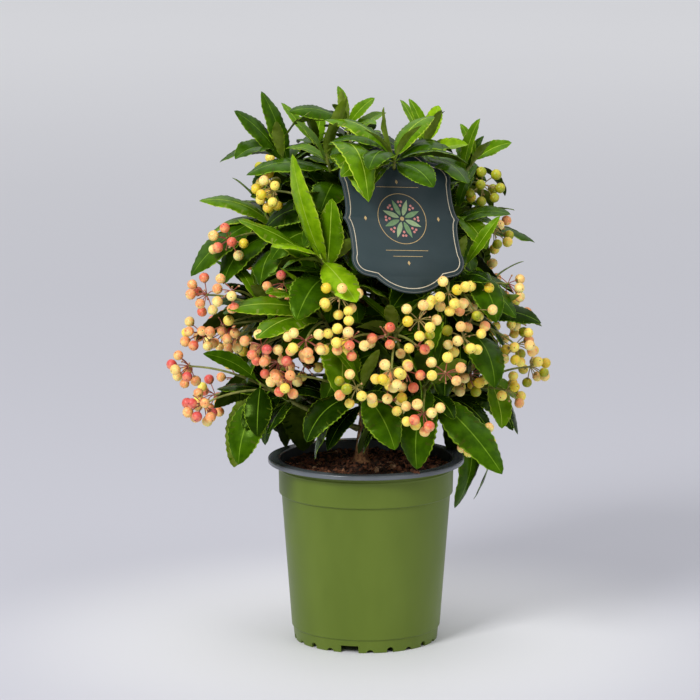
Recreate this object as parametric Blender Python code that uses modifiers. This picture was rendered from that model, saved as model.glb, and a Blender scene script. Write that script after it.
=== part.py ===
"""Potted coral ardisia: a small shrub, hung with berries, that grows in a thin round nursery pot.

Everything is in metres with +Z up. The origin is the middle of the pot's underside and the front
faces -Y. A turn is in degrees about +Z from +X, so 270 is the front. A rise is in degrees above level.
"""

import itertools
import math
import random
from collections import namedtuple

import bmesh
import bpy
from mathutils import Matrix, Vector
from mathutils.bvhtree import BVHTree
from mathutils.kdtree import KDTree

# Shared sizes
GAP = 0.0003
GOLDEN_TURN = 137.508
GOLDEN_SHARE = 0.618034
GUARD_SIDES = 16

# Pot
POT_STEPS = 36
RIM_RADIUS = 0.0650
RIM_TOP = 0.1222
RIM_DROP = 0.0030
RIM_SKIN = 0.0014
SKIN = 0.0011
COLLAR_TOP_RADIUS = 0.0581
COLLAR_FOOT_RADIUS = 0.0576
COLLAR_FOOT = 0.0989
BODY_TOP_RADIUS = 0.0560
BODY_FOOT_RADIUS = 0.0493
FOOT_HEIGHT = 0.0090
FOOT_STEP_RADIUS = 0.0484
FOOT_RADIUS = 0.0475
FOOT_WALL = 0.0018
FLOOR_UNDERSIDE = 0.0058
FLOOR_SKIN = 0.0014
PAD_RADIUS = 0.0100
NOTCH_PAIRS = 11
WIDE_NOTCH_TURN = 257.0
WIDE_NOTCH_WIDTH = 0.0118
WIDE_NOTCH_HEIGHT = 0.0048
TALL_NOTCH_RADIUS = 0.0024
TALL_NOTCH_HEIGHT = 0.0036
LOW_NOTCH_RADIUS = 0.0027
LOW_NOTCH_HEIGHT = 0.0022
DRAIN_HOLES = 6
DRAIN_RADIUS = 0.0045
DRAIN_CIRCLE = 0.0290

# Potting soil
SOIL_STEPS = 24
SOIL_EDGE = 0.1155
SOIL_CROWN = 0.1185
SOIL_FLAT_RADIUS = 0.0110

# Trunk
TRUNK_FOOT = SOIL_CROWN + GAP
TRUNK_TIP = 0.3000
TRUNK_RADIUS = 0.0043
TRUNK_TIP_RADIUS = 0.0016
FLARE = 0.0022
FLARE_HEIGHT = 0.0060
TRUNK_OFFSET = -0.0030
TRUNK_SWAY = 0.0040
TRUNK_STEPS = 7

# Boughs and stems
BOUGH_RADIUS = 0.0019
STEM_RADIUS = 0.0014
STEM_TIP_RADIUS = 0.0009
RISE_SHARE = 0.72
REACH_SHARE = 0.25
BOUGH_REACH = 0.0700
BOUGH_SHARE = 0.50
CREST_REACH = 0.0300
HEIGHT_STEP = 0.0040
HEIGHT_TRIES = 14
NEAR_TRUNK = 0.15
SEAT_STEPS = 4

# Leaves: rings are a share of the length and a share of the width. An age runs from 0 at a shoot's
# tip to 1 for its oldest leaf. One spiral leaf in FINE_EVERY has no solid. Posed leaves are tilted
# toward the front by FRONT_TILT. No spiral leaf ends in front of OPEN_FRONT and below OPEN_HEIGHT,
# where the soil and the foot of the trunk show.
LEAF_THICKNESS = 0.0011
PETIOLE = 0.0006
LEAF_RINGS = ((0.34, 0.96), (0.68, 0.82))
YOUNG_RINGS = ((0.50, 1.0),)
OUTER_PART = 0.34
LEAFY_SHARE = 0.50
POSED_FROM = 0.78
POSED_WIDTH = 0.36
WIDEST_POSED = 0.0240
YOUNG_LEAVES = 3
YOUNG_LENGTH = 0.040
LEAF_WIDTH = 0.38
YOUNG_WIDTH = 0.28
YOUNG_SCALE = 0.62
YOUNG_RISE = 60.0
YOUNG_BEND = 20.0
TIP_RISE = 24.0
AGE_FALL = 22.0
TIER_MIDDLE = 0.2500
TIER_LIFT = 200.0
SIDE_SPREAD = 145.0
CROWDED_TURN = 24.0
CROWDED_RISE = 30.0
OPEN_FRONT = -0.0200
OPEN_HEIGHT = 0.1450
CHANCE_TURN = 8.0
CHANCE_SIZE = 0.06
CHANCE_ROLL = 18.0
POSED_ROLL = 10.0
FRONT_TILT = 35.0
HALF_TURN = 180.0
FINE_EVERY = 6

# Berries: one in BERRIES_IN_SOLID has a solid
BERRY_RADIUS = 0.0036
BERRIES_IN_SOLID = 6
PEDICEL = 0.0117
PEDICEL_RADIUS = 0.0004
STALK_RADIUS = 0.0008
STALK_BEND = 35.0
STALK_SHARES = (0.0, 0.35, 0.7, 1.0)
STALK_LENGTHS = (0.036, 0.050)
STALK_RISES = (-22.0, 12.0)
STALK_BENDS = (15.0, 45.0)
UMBEL_SPREAD = 105.0
UMBEL_FALL = 15.0
UMBEL_FAN = 52.0
BUNCHES_FROM = 0.70

# Shares of a joined mass's faces to keep, so that the slivers where its pieces meet go. The first
# share that leaves the mass closed and every leaf's tip in its place is used.
KEPT_FACES = (0.50, 0.55, 0.60, 0.65, 0.70, 0.75, 0.80, 0.90, 1.0)
SAME_REACH = 0.0003
SLIVER = 0.000001

# Keeping clear
CLEARANCE = 0.0005
SPACE_RADIUS = 0.1150
TRIES = 26
TRY_STEP = 9.0
ROLL_TRIES = (0.0, 24.0, -24.0, 48.0, -48.0)

# Label plate
LABEL_MIDDLE = Vector((0.0226, -0.0750, 0.2911))
LABEL_TURN = 298.7
LABEL_LEAN = 27.6
LABEL_ROLL = -5.0
LABEL_HALF_WIDTH = 0.0418
LABEL_WAIST = 0.0371
LABEL_HALF_HEIGHT = 0.0504
LABEL_THICKNESS = 0.0010
LOBE_RADIUS = 0.0343
LOBE_HALF_ANGLE = 45.8
LOBE_STEPS = 3
BULGE_RADIUS = 0.0108
BULGE_RIGHT = 0.0290
BULGE_DOWN = 0.0280
BULGE_START = -80.0
BULGE_ANGLE = 104.0
BULGE_STEPS = 4
WAIST_FOOT = 0.0095
WAIST_TOP = 0.0045
LABEL_EYE_UP = 0.0347
LABEL_EYE_RADIUS = 0.0017
LABEL_EYE_STEPS = 8
LABEL_SHOOT = "leaves_top_front_right"
EYE_SHARE = 0.86
PAST_EYE = 0.93

Shoot = namedtuple("Shoot", "name turn reach height leaves blade droop umbels spin")
Leaf = namedtuple("Leaf", "base turn rise length bend width roll age young solid")
Umbel = namedtuple("Umbel", "base turn rise length bend berries")

# One row a mass of leaves: where its shoot ends, how many leaves of what length it has, how far they
# hang, how many umbels of berries it carries, and where its spiral of leaves starts.
SHOOTS = (
    Shoot("leaves_top_front_right", 284.6, 0.0713, 0.3280, 9, 0.056, 55, 0, 0.30),
    Shoot("leaves_top_front_left", 240, 0.052, 0.331, 12, 0.060, 60, 0, 0.10),
    Shoot("leaves_crest", 133, 0.020, 0.343, 13, 0.048, 55, 0, 0.00),
    Shoot("leaves_top_left", 185, 0.058, 0.327, 13, 0.058, 60, 0, 0.55),
    Shoot("leaves_top_right", 338, 0.042, 0.331, 12, 0.058, 60, 0, 0.20),
    Shoot("leaves_top_far_right", 12, 0.073, 0.318, 11, 0.052, 60, 1, 0.70),
    Shoot("leaves_top_back_right", 50, 0.058, 0.324, 13, 0.060, 60, 1, 0.35),
    Shoot("leaves_top_back_left", 125, 0.060, 0.324, 13, 0.060, 60, 1, 0.15),
    Shoot("leaves_upper_front_left", 250, 0.084, 0.266, 10, 0.062, 60, 1, 0.45),
    Shoot("leaves_upper_front_high", 246, 0.062, 0.306, 9, 0.056, 60, 1, 0.80),
    Shoot("leaves_upper_left", 183, 0.066, 0.284, 12, 0.064, 65, 1, 0.25),
    Shoot("leaves_upper_right", 333, 0.066, 0.288, 11, 0.062, 65, 0, 0.60),
    Shoot("leaves_upper_far_right", 322, 0.080, 0.256, 10, 0.064, 65, 1, 0.05),
    Shoot("leaves_upper_back_right", 25, 0.076, 0.276, 12, 0.064, 65, 1, 0.50),
    Shoot("leaves_upper_back", 77, 0.078, 0.280, 12, 0.064, 65, 2, 0.90),
    Shoot("leaves_upper_back_left", 130, 0.078, 0.276, 12, 0.064, 65, 2, 0.40),
    Shoot("leaves_middle_front_left", 248, 0.078, 0.230, 10, 0.068, 65, 2, 0.75),
    Shoot("leaves_middle_left", 203, 0.080, 0.232, 10, 0.064, 65, 3, 0.35),
    Shoot("leaves_middle_front", 285, 0.080, 0.222, 10, 0.062, 65, 3, 0.10),
    Shoot("leaves_middle_right", 335, 0.082, 0.224, 11, 0.066, 65, 2, 0.65),
    Shoot("leaves_middle_back_right", 20, 0.080, 0.226, 11, 0.066, 65, 2, 0.20),
    Shoot("leaves_middle_back", 68, 0.080, 0.226, 11, 0.066, 65, 2, 0.55),
    Shoot("leaves_middle_back_left", 115, 0.080, 0.226, 11, 0.066, 65, 2, 0.85),
    Shoot("leaves_middle_far_left", 160, 0.080, 0.226, 11, 0.066, 65, 2, 0.00),
    Shoot("leaves_low_left", 215, 0.084, 0.180, 9, 0.068, 60, 2, 0.50),
    Shoot("leaves_low_front", 268, 0.084, 0.184, 9, 0.062, 60, 3, 0.30),
    Shoot("leaves_low_right", 302, 0.080, 0.184, 9, 0.072, 55, 3, 0.95),
    Shoot("leaves_low_far_right", 352, 0.082, 0.178, 9, 0.068, 60, 2, 0.15),
    Shoot("leaves_low_back_right", 42, 0.080, 0.172, 10, 0.068, 60, 2, 0.60),
    Shoot("leaves_low_back", 95, 0.080, 0.176, 10, 0.068, 60, 2, 0.40),
    Shoot("leaves_low_back_left", 150, 0.080, 0.176, 10, 0.068, 60, 2, 0.70),
)

# Leaves that make the outline or the face of the plant, by the place of their tip and their bend. One
# with a negative bend curls back and shows its upper face.
POSED_TIPS = {
    "leaves_top_front_right": ((0.010, -0.062, 0.361, -8), (0.042, -0.098, 0.318, 25),
                               (-0.016, -0.095, 0.323, 40), (0.043, -0.040, 0.357, 45),
                               (-0.027, -0.048, 0.355, 60)),
    "leaves_top_front_left": ((-0.078, -0.052, 0.320, 50), (-0.044, -0.050, 0.351, 15),
                              (0.002, -0.099, 0.307, 85), (0.009, -0.104, 0.300, 95)),
    "leaves_crest": ((-0.017, 0.015, 0.364, -5), (0.005, 0.020, 0.360, 30), (-0.050, 0.000, 0.354, 40)),
    "leaves_top_left": ((-0.065, 0.000, 0.366, 8), (-0.074, -0.014, 0.362, 10), (-0.098, 0.000, 0.322, 60),
                        (-0.085, -0.025, 0.324, 55)),
    "leaves_top_right": ((0.066, -0.015, 0.333, 35), (0.066, -0.060, 0.315, 30), (0.047, 0.000, 0.357, 20)),
    "leaves_top_far_right": ((0.073, 0.015, 0.346, 8), (0.095, 0.015, 0.331, 15)),
    "leaves_upper_front_left": ((-0.052, -0.098, 0.331, -6), (-0.023, -0.092, 0.305, -8),
                                (-0.080, -0.090, 0.294, 15), (-0.059, -0.112, 0.280, 45),
                                (-0.006, -0.112, 0.244, 30)),
    "leaves_upper_left": ((-0.109, -0.010, 0.297, 55), (-0.106, 0.005, 0.270, 70),
                          (-0.117, -0.025, 0.250, 30)),
    "leaves_upper_right": ((0.093, -0.040, 0.292, 50), (0.061, -0.056, 0.297, 45),
                           (0.091, -0.008, 0.276, 60), (0.078, -0.050, 0.269, 45)),
    "leaves_upper_far_right": ((0.078, -0.075, 0.254, 35), (0.098, -0.055, 0.225, 50),
                               (0.085, -0.072, 0.225, 45)),
    "leaves_middle_front_left": ((-0.062, -0.110, 0.251, 40), (-0.069, -0.114, 0.224, 35),
                                 (-0.088, -0.085, 0.239, 30)),
    "leaves_low_left": ((-0.083, -0.066, 0.130, 45), (-0.068, -0.064, 0.147, 50)),
    "leaves_low_front": ((0.019, -0.108, 0.149, 50), (-0.039, -0.074, 0.137, 40)),
    "leaves_low_right": ((0.087, -0.104, 0.133, 20), (0.031, -0.092, 0.132, 40)),
    "leaves_low_far_right": ((0.103, -0.005, 0.161, 40), (0.091, -0.025, 0.146, 35)),
    "leaves_low_back_right": ((0.066, 0.040, 0.075, 55), (0.084, 0.052, 0.079, 60)),
    "leaves_low_back_left": ((-0.086, -0.010, 0.114, -12),),
}

# Bunches of berries that show at the front, by the place where their stalk ends.
POSED_BUNCHES = {
    "leaves_upper_left": ((-0.089, -0.030, 0.271),),
    "leaves_upper_front_high": ((-0.059, -0.050, 0.306),),
    "leaves_upper_front_left": ((-0.017, -0.104, 0.254),),
    "leaves_middle_left": ((-0.107, -0.030, 0.209), (-0.103, -0.042, 0.237), (-0.080, -0.078, 0.239)),
    "leaves_middle_front_left": ((-0.066, -0.097, 0.213), (-0.038, -0.112, 0.219)),
    "leaves_middle_front": ((-0.009, -0.116, 0.221), (0.033, -0.106, 0.231), (0.016, -0.120, 0.202)),
    "leaves_middle_right": ((0.062, -0.083, 0.216), (0.097, -0.040, 0.204)),
    "leaves_upper_far_right": ((0.052, -0.090, 0.246),),
    "leaves_low_left": ((-0.115, -0.035, 0.189), (-0.105, -0.052, 0.167)),
    "leaves_low_front": ((-0.049, -0.100, 0.194), (-0.006, -0.119, 0.190)),
    "leaves_low_right": ((0.050, -0.112, 0.198), (0.036, -0.114, 0.173)),
    "leaves_low_far_right": ((0.092, -0.024, 0.171), (0.108, -0.008, 0.184)),
    "leaves_middle_back_right": ((0.089, 0.045, 0.193),),
    "leaves_upper_back_right": ((0.084, 0.012, 0.271),),
    "leaves_top_far_right": ((0.076, -0.006, 0.304),),
}


# Places and directions

def heading(turn, rise):
    """The unit vector that faces a turn and a rise."""
    level = math.cos(math.radians(rise))
    return Vector((level * math.cos(math.radians(turn)), level * math.sin(math.radians(turn)),
                   math.sin(math.radians(rise))))


def bezier(start, control, end, share):
    """The point at a share of the way along a curve with one control point."""
    return start.lerp(control, share).lerp(control.lerp(end, share), share)


def bent_path(base, turn, rise, length, bend, shares):
    """Points along a leaf or twig that leaves its base at one rise and bends down evenly."""
    control = base + heading(turn, rise) * length / 2
    end = control + heading(turn, rise - bend) * length / 2
    return [bezier(base, control, end, share) for share in shares]


def trunk_point(height):
    """The middle of the trunk at a height: it stands upright at its foot and sways a little above."""
    climb = max(0.0, height - TRUNK_FOOT - FLARE_HEIGHT) / (TRUNK_TIP - TRUNK_FOOT)
    sway = TRUNK_SWAY * math.sin(math.pi * 1.6 * climb)
    return Vector((TRUNK_OFFSET + sway, sway / 2, height))


def trunk_radius(height):
    """The trunk's radius at a height: an even taper above a flared foot."""
    climb = (height - TRUNK_FOOT) / (TRUNK_TIP - TRUNK_FOOT)
    flare = FLARE * max(0.0, 1 - (height - TRUNK_FOOT) / FLARE_HEIGHT) ** 2
    return TRUNK_RADIUS + (TRUNK_TIP_RADIUS - TRUNK_RADIUS) * climb + flare


def label_axes():
    """The label plate's directions: to its right, up along it, and out of its face."""
    front = heading(LABEL_TURN, LABEL_LEAN)
    level = heading(LABEL_TURN + 90, 0)
    roll = Matrix.Rotation(math.radians(LABEL_ROLL), 3, front)
    return roll @ level, roll @ front.cross(level), front


def label_outline():
    """The right half of the plate's edge from its lowest to its highest point."""
    lower = []
    for i in range(LOBE_STEPS + 1):
        turn = math.radians(-90 + LOBE_HALF_ANGLE * i / LOBE_STEPS)
        lower.append((LOBE_RADIUS * math.cos(turn),
                      LOBE_RADIUS - LABEL_HALF_HEIGHT + LOBE_RADIUS * math.sin(turn)))
    for i in range(BULGE_STEPS + 1):
        turn = math.radians(BULGE_START + BULGE_ANGLE * i / BULGE_STEPS)
        lower.append((BULGE_RIGHT + BULGE_RADIUS * math.cos(turn),
                      -BULGE_DOWN + BULGE_RADIUS * math.sin(turn)))
    lower.extend([(LABEL_WAIST, -WAIST_FOOT), (LABEL_WAIST, -WAIST_TOP), (LABEL_HALF_WIDTH, 0)])
    return lower + [(x, -y) for x, y in reversed(lower[:-1])]


def shoot_hub(shoot):
    """The end of a shoot's stem, in the middle of its rosette of leaves."""
    return heading(shoot.turn, 0) * shoot.reach + Vector((0, 0, shoot.height))


def has_bough(shoot):
    """Whether a shoot is far enough out to hang on a bough of its own."""
    return shoot.reach >= BOUGH_REACH


# Materials

def principled(name, colour, roughness, metallic=0.0):
    """A plain material with a colour, a roughness and a metallic value."""
    material = bpy.data.materials.new(name)
    material.use_nodes = True
    shader = material.node_tree.nodes["Principled BSDF"]
    shader.inputs["Base Color"].default_value = (*colour, 1.0)
    shader.inputs["Roughness"].default_value = roughness
    shader.inputs["Metallic"].default_value = metallic
    material.diffuse_color = (*colour, 1.0)
    return material


# Objects and meshes

def add_object(name, data, collection, material=None):
    """An object of its own name in a collection."""
    obj = bpy.data.objects.new(name, data)
    collection.objects.link(obj)
    if material:
        data.materials.append(material)
    return obj


def evaluated_mesh(obj, weld=0.00001):
    """A mesh of the object as its modifiers leave it, with points nearer than the weld joined."""
    graph = bpy.context.evaluated_depsgraph_get()
    mesh = bpy.data.meshes.new_from_object(obj.evaluated_get(graph))
    bm = bmesh.new()
    bm.from_mesh(mesh)
    if weld:
        bmesh.ops.remove_doubles(bm, verts=bm.verts, dist=weld)
    bm.to_mesh(mesh)
    bm.free()
    return mesh


def drop_scraps(mesh):
    """Remove what isn't joined to the largest body of a mesh, such as the skin of a hollow inside it."""
    bm = bmesh.new()
    bm.from_mesh(mesh)
    left = set(bm.verts)
    bodies = []
    while left:
        body = [left.pop()]
        for vertex in body:
            near = {edge.other_vert(vertex) for edge in vertex.link_edges} & left
            left -= near
            body.extend(near)
        bodies.append(body)
    bodies.sort(key=len)
    bmesh.ops.delete(bm, geom=[vertex for body in bodies[:-1] for vertex in body], context="VERTS")
    bm.to_mesh(mesh)
    bm.free()


def is_closed(mesh):
    """Whether every edge of a mesh lies between two faces, also once its slivers have gone."""
    bm = bmesh.new()
    bm.from_mesh(mesh)
    closed = all(len(edge.link_faces) == 2 for edge in bm.edges)
    bmesh.ops.triangulate(bm, faces=bm.faces)
    bmesh.ops.dissolve_degenerate(bm, edges=bm.edges, dist=SLIVER)
    closed = closed and all(len(edge.link_faces) == 2 for edge in bm.edges)
    bm.free()
    return closed


def crosses_itself(mesh):
    """Whether two faces of a mesh that share no point touch."""
    bm = bmesh.new()
    bm.from_mesh(mesh)
    bmesh.ops.triangulate(bm, faces=bm.faces)
    bm.faces.ensure_lookup_table()
    tree = BVHTree.FromBMesh(bm)
    corners = [{vertex.index for vertex in face.verts} for face in bm.faces]
    crossed = any(not corners[a] & corners[b] for a, b in tree.overlap(tree))
    bm.free()
    return crossed


def reaches(mesh, tips):
    """Whether a mesh still comes to each of some tips."""
    tree = KDTree(len(mesh.vertices))
    for i, vertex in enumerate(mesh.vertices):
        tree.insert(vertex.co, i)
    tree.balance()
    return all(tree.find(tip)[2] < SAME_REACH for tip in tips)


def settle(obj, mesh):
    """Give an object its finished mesh and take its modifiers off."""
    old = obj.data
    obj.modifiers.clear()
    obj.data = mesh
    mesh.shade_smooth()
    mesh.set_sharp_from_angle(angle=math.radians(40))
    bpy.data.meshes.remove(old)


def loft(rings):
    """A closed mesh through rings of points, where a ring of one point is a tip."""
    mesh = bpy.data.meshes.new("loft")
    bm = bmesh.new()
    rows = [[bm.verts.new(point) for point in ring] for ring in rings]
    for low, high in zip(rows, rows[1:]):
        count = len(low)
        for i in range(count):
            j = (i + 1) % count
            if len(high) == 1:
                bm.faces.new((low[i], low[j], high[0]))
            else:
                bm.faces.new((low[i], low[j], high[j]))
                bm.faces.new((low[i], high[j], high[i]))
    bm.faces.new(rows[0][::-1])
    if len(rows[-1]) > 1:
        bm.faces.new(rows[-1])
    bmesh.ops.recalc_face_normals(bm, faces=bm.faces)
    bm.to_mesh(mesh)
    bm.free()
    return mesh


def ring_around(point, along, radius, sides):
    """A ring of points square to a direction."""
    side = along.cross(Vector((0.13, 0.31, 1.0))).normalized()
    up = side.cross(along).normalized()
    turns = [2 * math.pi * i / sides for i in range(sides)]
    return [point + (side * math.cos(turn) + up * math.sin(turn)) * radius for turn in turns]


def twig_mesh(points, radii, sides=3):
    """A thin tapering twig through points."""
    rings = []
    for i, (point, radius) in enumerate(zip(points, radii)):
        along = (points[min(i + 1, len(points) - 1)] - points[max(i - 1, 0)]).normalized()
        rings.append(ring_around(point, along, radius, sides))
    return loft(rings)


def leaf_mesh(leaf, swell=0.0, start=0.0):
    """A thin three-sided blade with a keel below, from a share of its length to its tip."""
    widths = dict(YOUNG_RINGS if leaf.young else LEAF_RINGS)
    shares = [start] + [share for share in widths if share > start] + [1.0]
    points = bent_path(leaf.base, leaf.turn, leaf.rise, leaf.length, leaf.bend, shares)
    thick = LEAF_THICKNESS / 2 + swell
    rings = []
    for share, point in zip(shares, points):
        along = heading(leaf.turn, leaf.rise - leaf.bend * share)
        side = Matrix.Rotation(math.radians(leaf.roll), 3, along) @ heading(leaf.turn + 90, 0)
        up = along.cross(side)
        half = (leaf.width / 2 * widths[share] if share in widths else PETIOLE) + swell
        if share == 1.0:
            rings.append([point + along * swell])
        else:
            rings.append([point + side * half + up * thick, point - side * half + up * thick,
                          point - up * thick])
    return loft(rings)


def leaf_tip(leaf):
    """The place of a leaf's tip."""
    return bent_path(leaf.base, leaf.turn, leaf.rise, leaf.length, leaf.bend, [1.0])[0]


def berry_mesh(centre, stalk_end, swell=0.0):
    """A round berry of twenty faces, with one of them square to its stalk."""
    mesh = bpy.data.meshes.new("berry")
    bm = bmesh.new()
    bmesh.ops.create_icosphere(bm, subdivisions=1, radius=BERRY_RADIUS + swell)
    bm.faces.ensure_lookup_table()
    bm.normal_update()
    facing = bm.faces[0].normal.rotation_difference(stalk_end - centre).to_matrix().to_4x4()
    bm.transform(Matrix.Translation(centre) @ facing)
    bm.to_mesh(mesh)
    bm.free()
    return mesh


# Keeping to its own space

def tree_of(*meshes):
    """A search tree of the faces of some meshes, which are then removed."""
    points = []
    faces = []
    for mesh in meshes:
        first = len(points)
        points.extend(v.co.copy() for v in mesh.vertices)
        faces.extend([first + i for i in p.vertices] for p in mesh.polygons)
        bpy.data.meshes.remove(mesh)
    return BVHTree.FromPolygons(points, faces)


def is_clear(tree, others):
    """Whether a body touches none of the others."""
    return not any(tree.overlap(other) for other in others)


def within_space(shoot, point):
    """Whether a point stays in the ball around a shoot's hub that its mass keeps to."""
    return (point - shoot_hub(shoot)).length < SPACE_RADIUS


def tries():
    """Small changes of turn and rise, on a widening spiral that starts at no change."""
    for i in range(TRIES):
        angle = math.radians(GOLDEN_TURN * i)
        yield TRY_STEP * math.sqrt(i) * math.cos(angle), TRY_STEP * math.sqrt(i) * math.sin(angle)


# Guards: plain closed bodies round the pieces that the limbs and leaves keep clear of

def circle(radius, height):
    """A ring of points round the axis of the pot, whose sides lie outside a radius."""
    outer = radius / math.cos(math.pi / GUARD_SIDES)
    turns = [360 * i / GUARD_SIDES for i in range(GUARD_SIDES)]
    return [heading(turn, 0) * outer + Vector((0, 0, height)) for turn in turns]


def pot_guard():
    """The outside of the pot, closed over the soil."""
    return loft([circle(BODY_FOOT_RADIUS, 0), circle(COLLAR_TOP_RADIUS, COLLAR_FOOT),
                 circle(COLLAR_TOP_RADIUS, RIM_TOP - RIM_DROP), circle(RIM_RADIUS, RIM_TOP - RIM_DROP),
                 circle(RIM_RADIUS, RIM_TOP)])


def trunk_heights():
    """Heights at which the trunk has a ring: two close over its foot, then even ones."""
    first = TRUNK_FOOT + FLARE_HEIGHT
    rise = (TRUNK_TIP - first) / TRUNK_STEPS
    return [TRUNK_FOOT, TRUNK_FOOT + FLARE_HEIGHT / 3] + [first + rise * i for i in range(TRUNK_STEPS + 1)]


def trunk_guard():
    """The trunk, with sides that lie outside its round."""
    heights = trunk_heights()
    outer = [trunk_radius(height) / math.cos(math.pi / GUARD_SIDES) for height in heights]
    return twig_mesh([trunk_point(height) for height in heights], outer, GUARD_SIDES)


def label_guard():
    """The label plate without its eye."""
    across, upward, front = label_axes()
    right = label_outline()
    edge = right + [(-x, y) for x, y in reversed(right[1:-1])]
    face = [LABEL_MIDDLE + across * x + upward * y for x, y in edge]
    half = front * LABEL_THICKNESS / 2
    return loft([[point - half for point in face], [point + half for point in face]])


# Limbs

def limb_path(shoot, higher):
    """Start, control point and end of the limb that carries a shoot, from the trunk to its hub."""
    hub = shoot_hub(shoot)
    if shoot.reach < CREST_REACH:
        start = trunk_point(TRUNK_TIP) + Vector((0, 0, GAP))
        return start, start + Vector((0, 0, (hub.z - start.z) / 2)), hub
    height = TRUNK_FOOT + RISE_SHARE * (shoot.height - TRUNK_FOOT) - REACH_SHARE * shoot.reach + higher
    axis = trunk_point(height)
    level = Vector((hub.x - axis.x, hub.y - axis.y, 0))
    start = axis + level.normalized() * (trunk_radius(height) + BOUGH_RADIUS + GAP)
    control = start + level / 2 + Vector((0, 0, 0.4 * (hub.z - height)))
    if shoot.name == LABEL_SHOOT:
        eye = LABEL_MIDDLE + label_axes()[1] * LABEL_EYE_UP
        near = (1 - EYE_SHARE) ** 2
        far = EYE_SHARE ** 2
        control = (eye - start * near - hub * far) / (1 - near - far)
    return start, control, hub


def seated(path, radius, trunk_tree):
    """A limb's path with its start slid along the level until its root is the gap from the trunk."""
    start, control, end = path
    level = Vector((control.x - start.x, control.y - start.y, 0)).normalized()
    for _ in range(SEAT_STEPS):
        along = (bezier(start, control, end, 0.1) - start).normalized()
        root = ring_around(start, along, radius, 12)
        nearest = min(trunk_tree.find_nearest(point)[3] for point in root)
        start = start - level * (nearest - GAP)
    return start, control, end


def clear_paths(trunk_tree, label_tree):
    """A limb's path for each shoot, moved up or down the trunk until it clears the limbs before it."""
    paths = {}
    limbs = []
    for shoot in SHOOTS:
        for i in range(HEIGHT_TRIES):
            higher = HEIGHT_STEP * ((i + 1) // 2) * (-1) ** i
            path = limb_path(shoot, higher)
            points = [bezier(*path, j / 10) for j in range(11)]
            limb = tree_of(twig_mesh(points, [BOUGH_RADIUS + CLEARANCE] * 11, sides=5))
            past = [bezier(*path, NEAR_TRUNK + (1 - NEAR_TRUNK) * j / 10) for j in range(11)]
            outer = tree_of(twig_mesh(past, [STEM_RADIUS + CLEARANCE] * 11, sides=5))
            blocks = [trunk_tree] if shoot.name == LABEL_SHOOT else [trunk_tree, label_tree]
            if is_clear(limb, limbs) and is_clear(outer, blocks):
                break
        if shoot.reach >= CREST_REACH:
            path = seated(path, BOUGH_RADIUS if has_bough(shoot) else STEM_RADIUS, trunk_tree)
        paths[shoot.name] = path
        limbs.append(limb)
    return paths


def limb_curve(name, points, radii, collection, material, resolution=1):
    """A tapering limb with flat ends, as a round curve."""
    curve = bpy.data.curves.new(name, "CURVE")
    curve.dimensions = "3D"
    curve.bevel_depth = 0.001
    curve.bevel_resolution = resolution
    curve.use_fill_caps = True
    spline = curve.splines.new("POLY")
    spline.points.add(len(points) - 1)
    for spot, point, radius in zip(spline.points, points, radii):
        spot.co = (*point, 1.0)
        spot.radius = radius / curve.bevel_depth
    return add_object(name, curve, collection, material)


def build_trunk(collection, material):
    """The woody trunk, cut flat where it leaves the soil."""
    heights = trunk_heights()
    points = [trunk_point(height) for height in heights]
    radii = [trunk_radius(height) for height in heights]
    return limb_curve("trunk", points, radii, collection, material, resolution=2)


def tapered(path, first, last, first_radius, last_radius, steps):
    """Points and radii of an evenly tapering stretch of a limb, from one share of it to another."""
    points = [bezier(*path, first + (last - first) * i / steps) for i in range(steps + 1)]
    radii = [first_radius + (last_radius - first_radius) * i / steps for i in range(steps + 1)]
    return points, radii


def bough_line(path):
    """The inner part of the limb that carries a far shoot."""
    return tapered(path, 0.0, BOUGH_SHARE, BOUGH_RADIUS, STEM_RADIUS, 3)


def stem_mesh(shoot, path):
    """The stem of a mass, from its bough's tip or the trunk to its hub."""
    start = 0.0
    if has_bough(shoot):
        start = BOUGH_SHARE + GAP / (path[2] - path[0]).length
    return twig_mesh(*tapered(path, start, 1.0, STEM_RADIUS, STEM_TIP_RADIUS, 4))


# Growth

def aimed(base, end, bend):
    """The turn, rise and length of a leaf or stalk that bends from its base to an end."""
    chord = Vector(end) - base
    turn = math.degrees(math.atan2(chord.y, chord.x))
    rise = math.degrees(math.asin(chord.z / chord.length)) + bend / 2
    return turn, rise, chord.length / math.cos(math.radians(bend / 2))


def posed_leaves(shoot, path):
    """The leaves of a shoot whose tips have a place of their own."""
    rng = random.Random("posed leaves of " + shoot.name)
    tips = POSED_TIPS.get(shoot.name, ())
    first = PAST_EYE if shoot.name == LABEL_SHOOT else POSED_FROM
    leaves = []
    for i, (x, y, z, bend) in enumerate(tips):
        base = bezier(*path, first + (0.99 - first) * (i + 1) / len(tips))
        turn, rise, length = aimed(base, (x, y, z), bend)
        width = min(WIDEST_POSED, POSED_WIDTH * length + 0.003)
        roll = rng.uniform(-POSED_ROLL, POSED_ROLL)
        front_tilt = FRONT_TILT * math.cos(math.radians(turn)) * max(0.0, 1 - bend / 90)
        roll += HALF_TURN if bend < 0 else front_tilt
        leaves.append(Leaf(base, turn, rise, length, bend, width, roll, 0.5, length < YOUNG_LENGTH, True))
    return leaves


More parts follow.
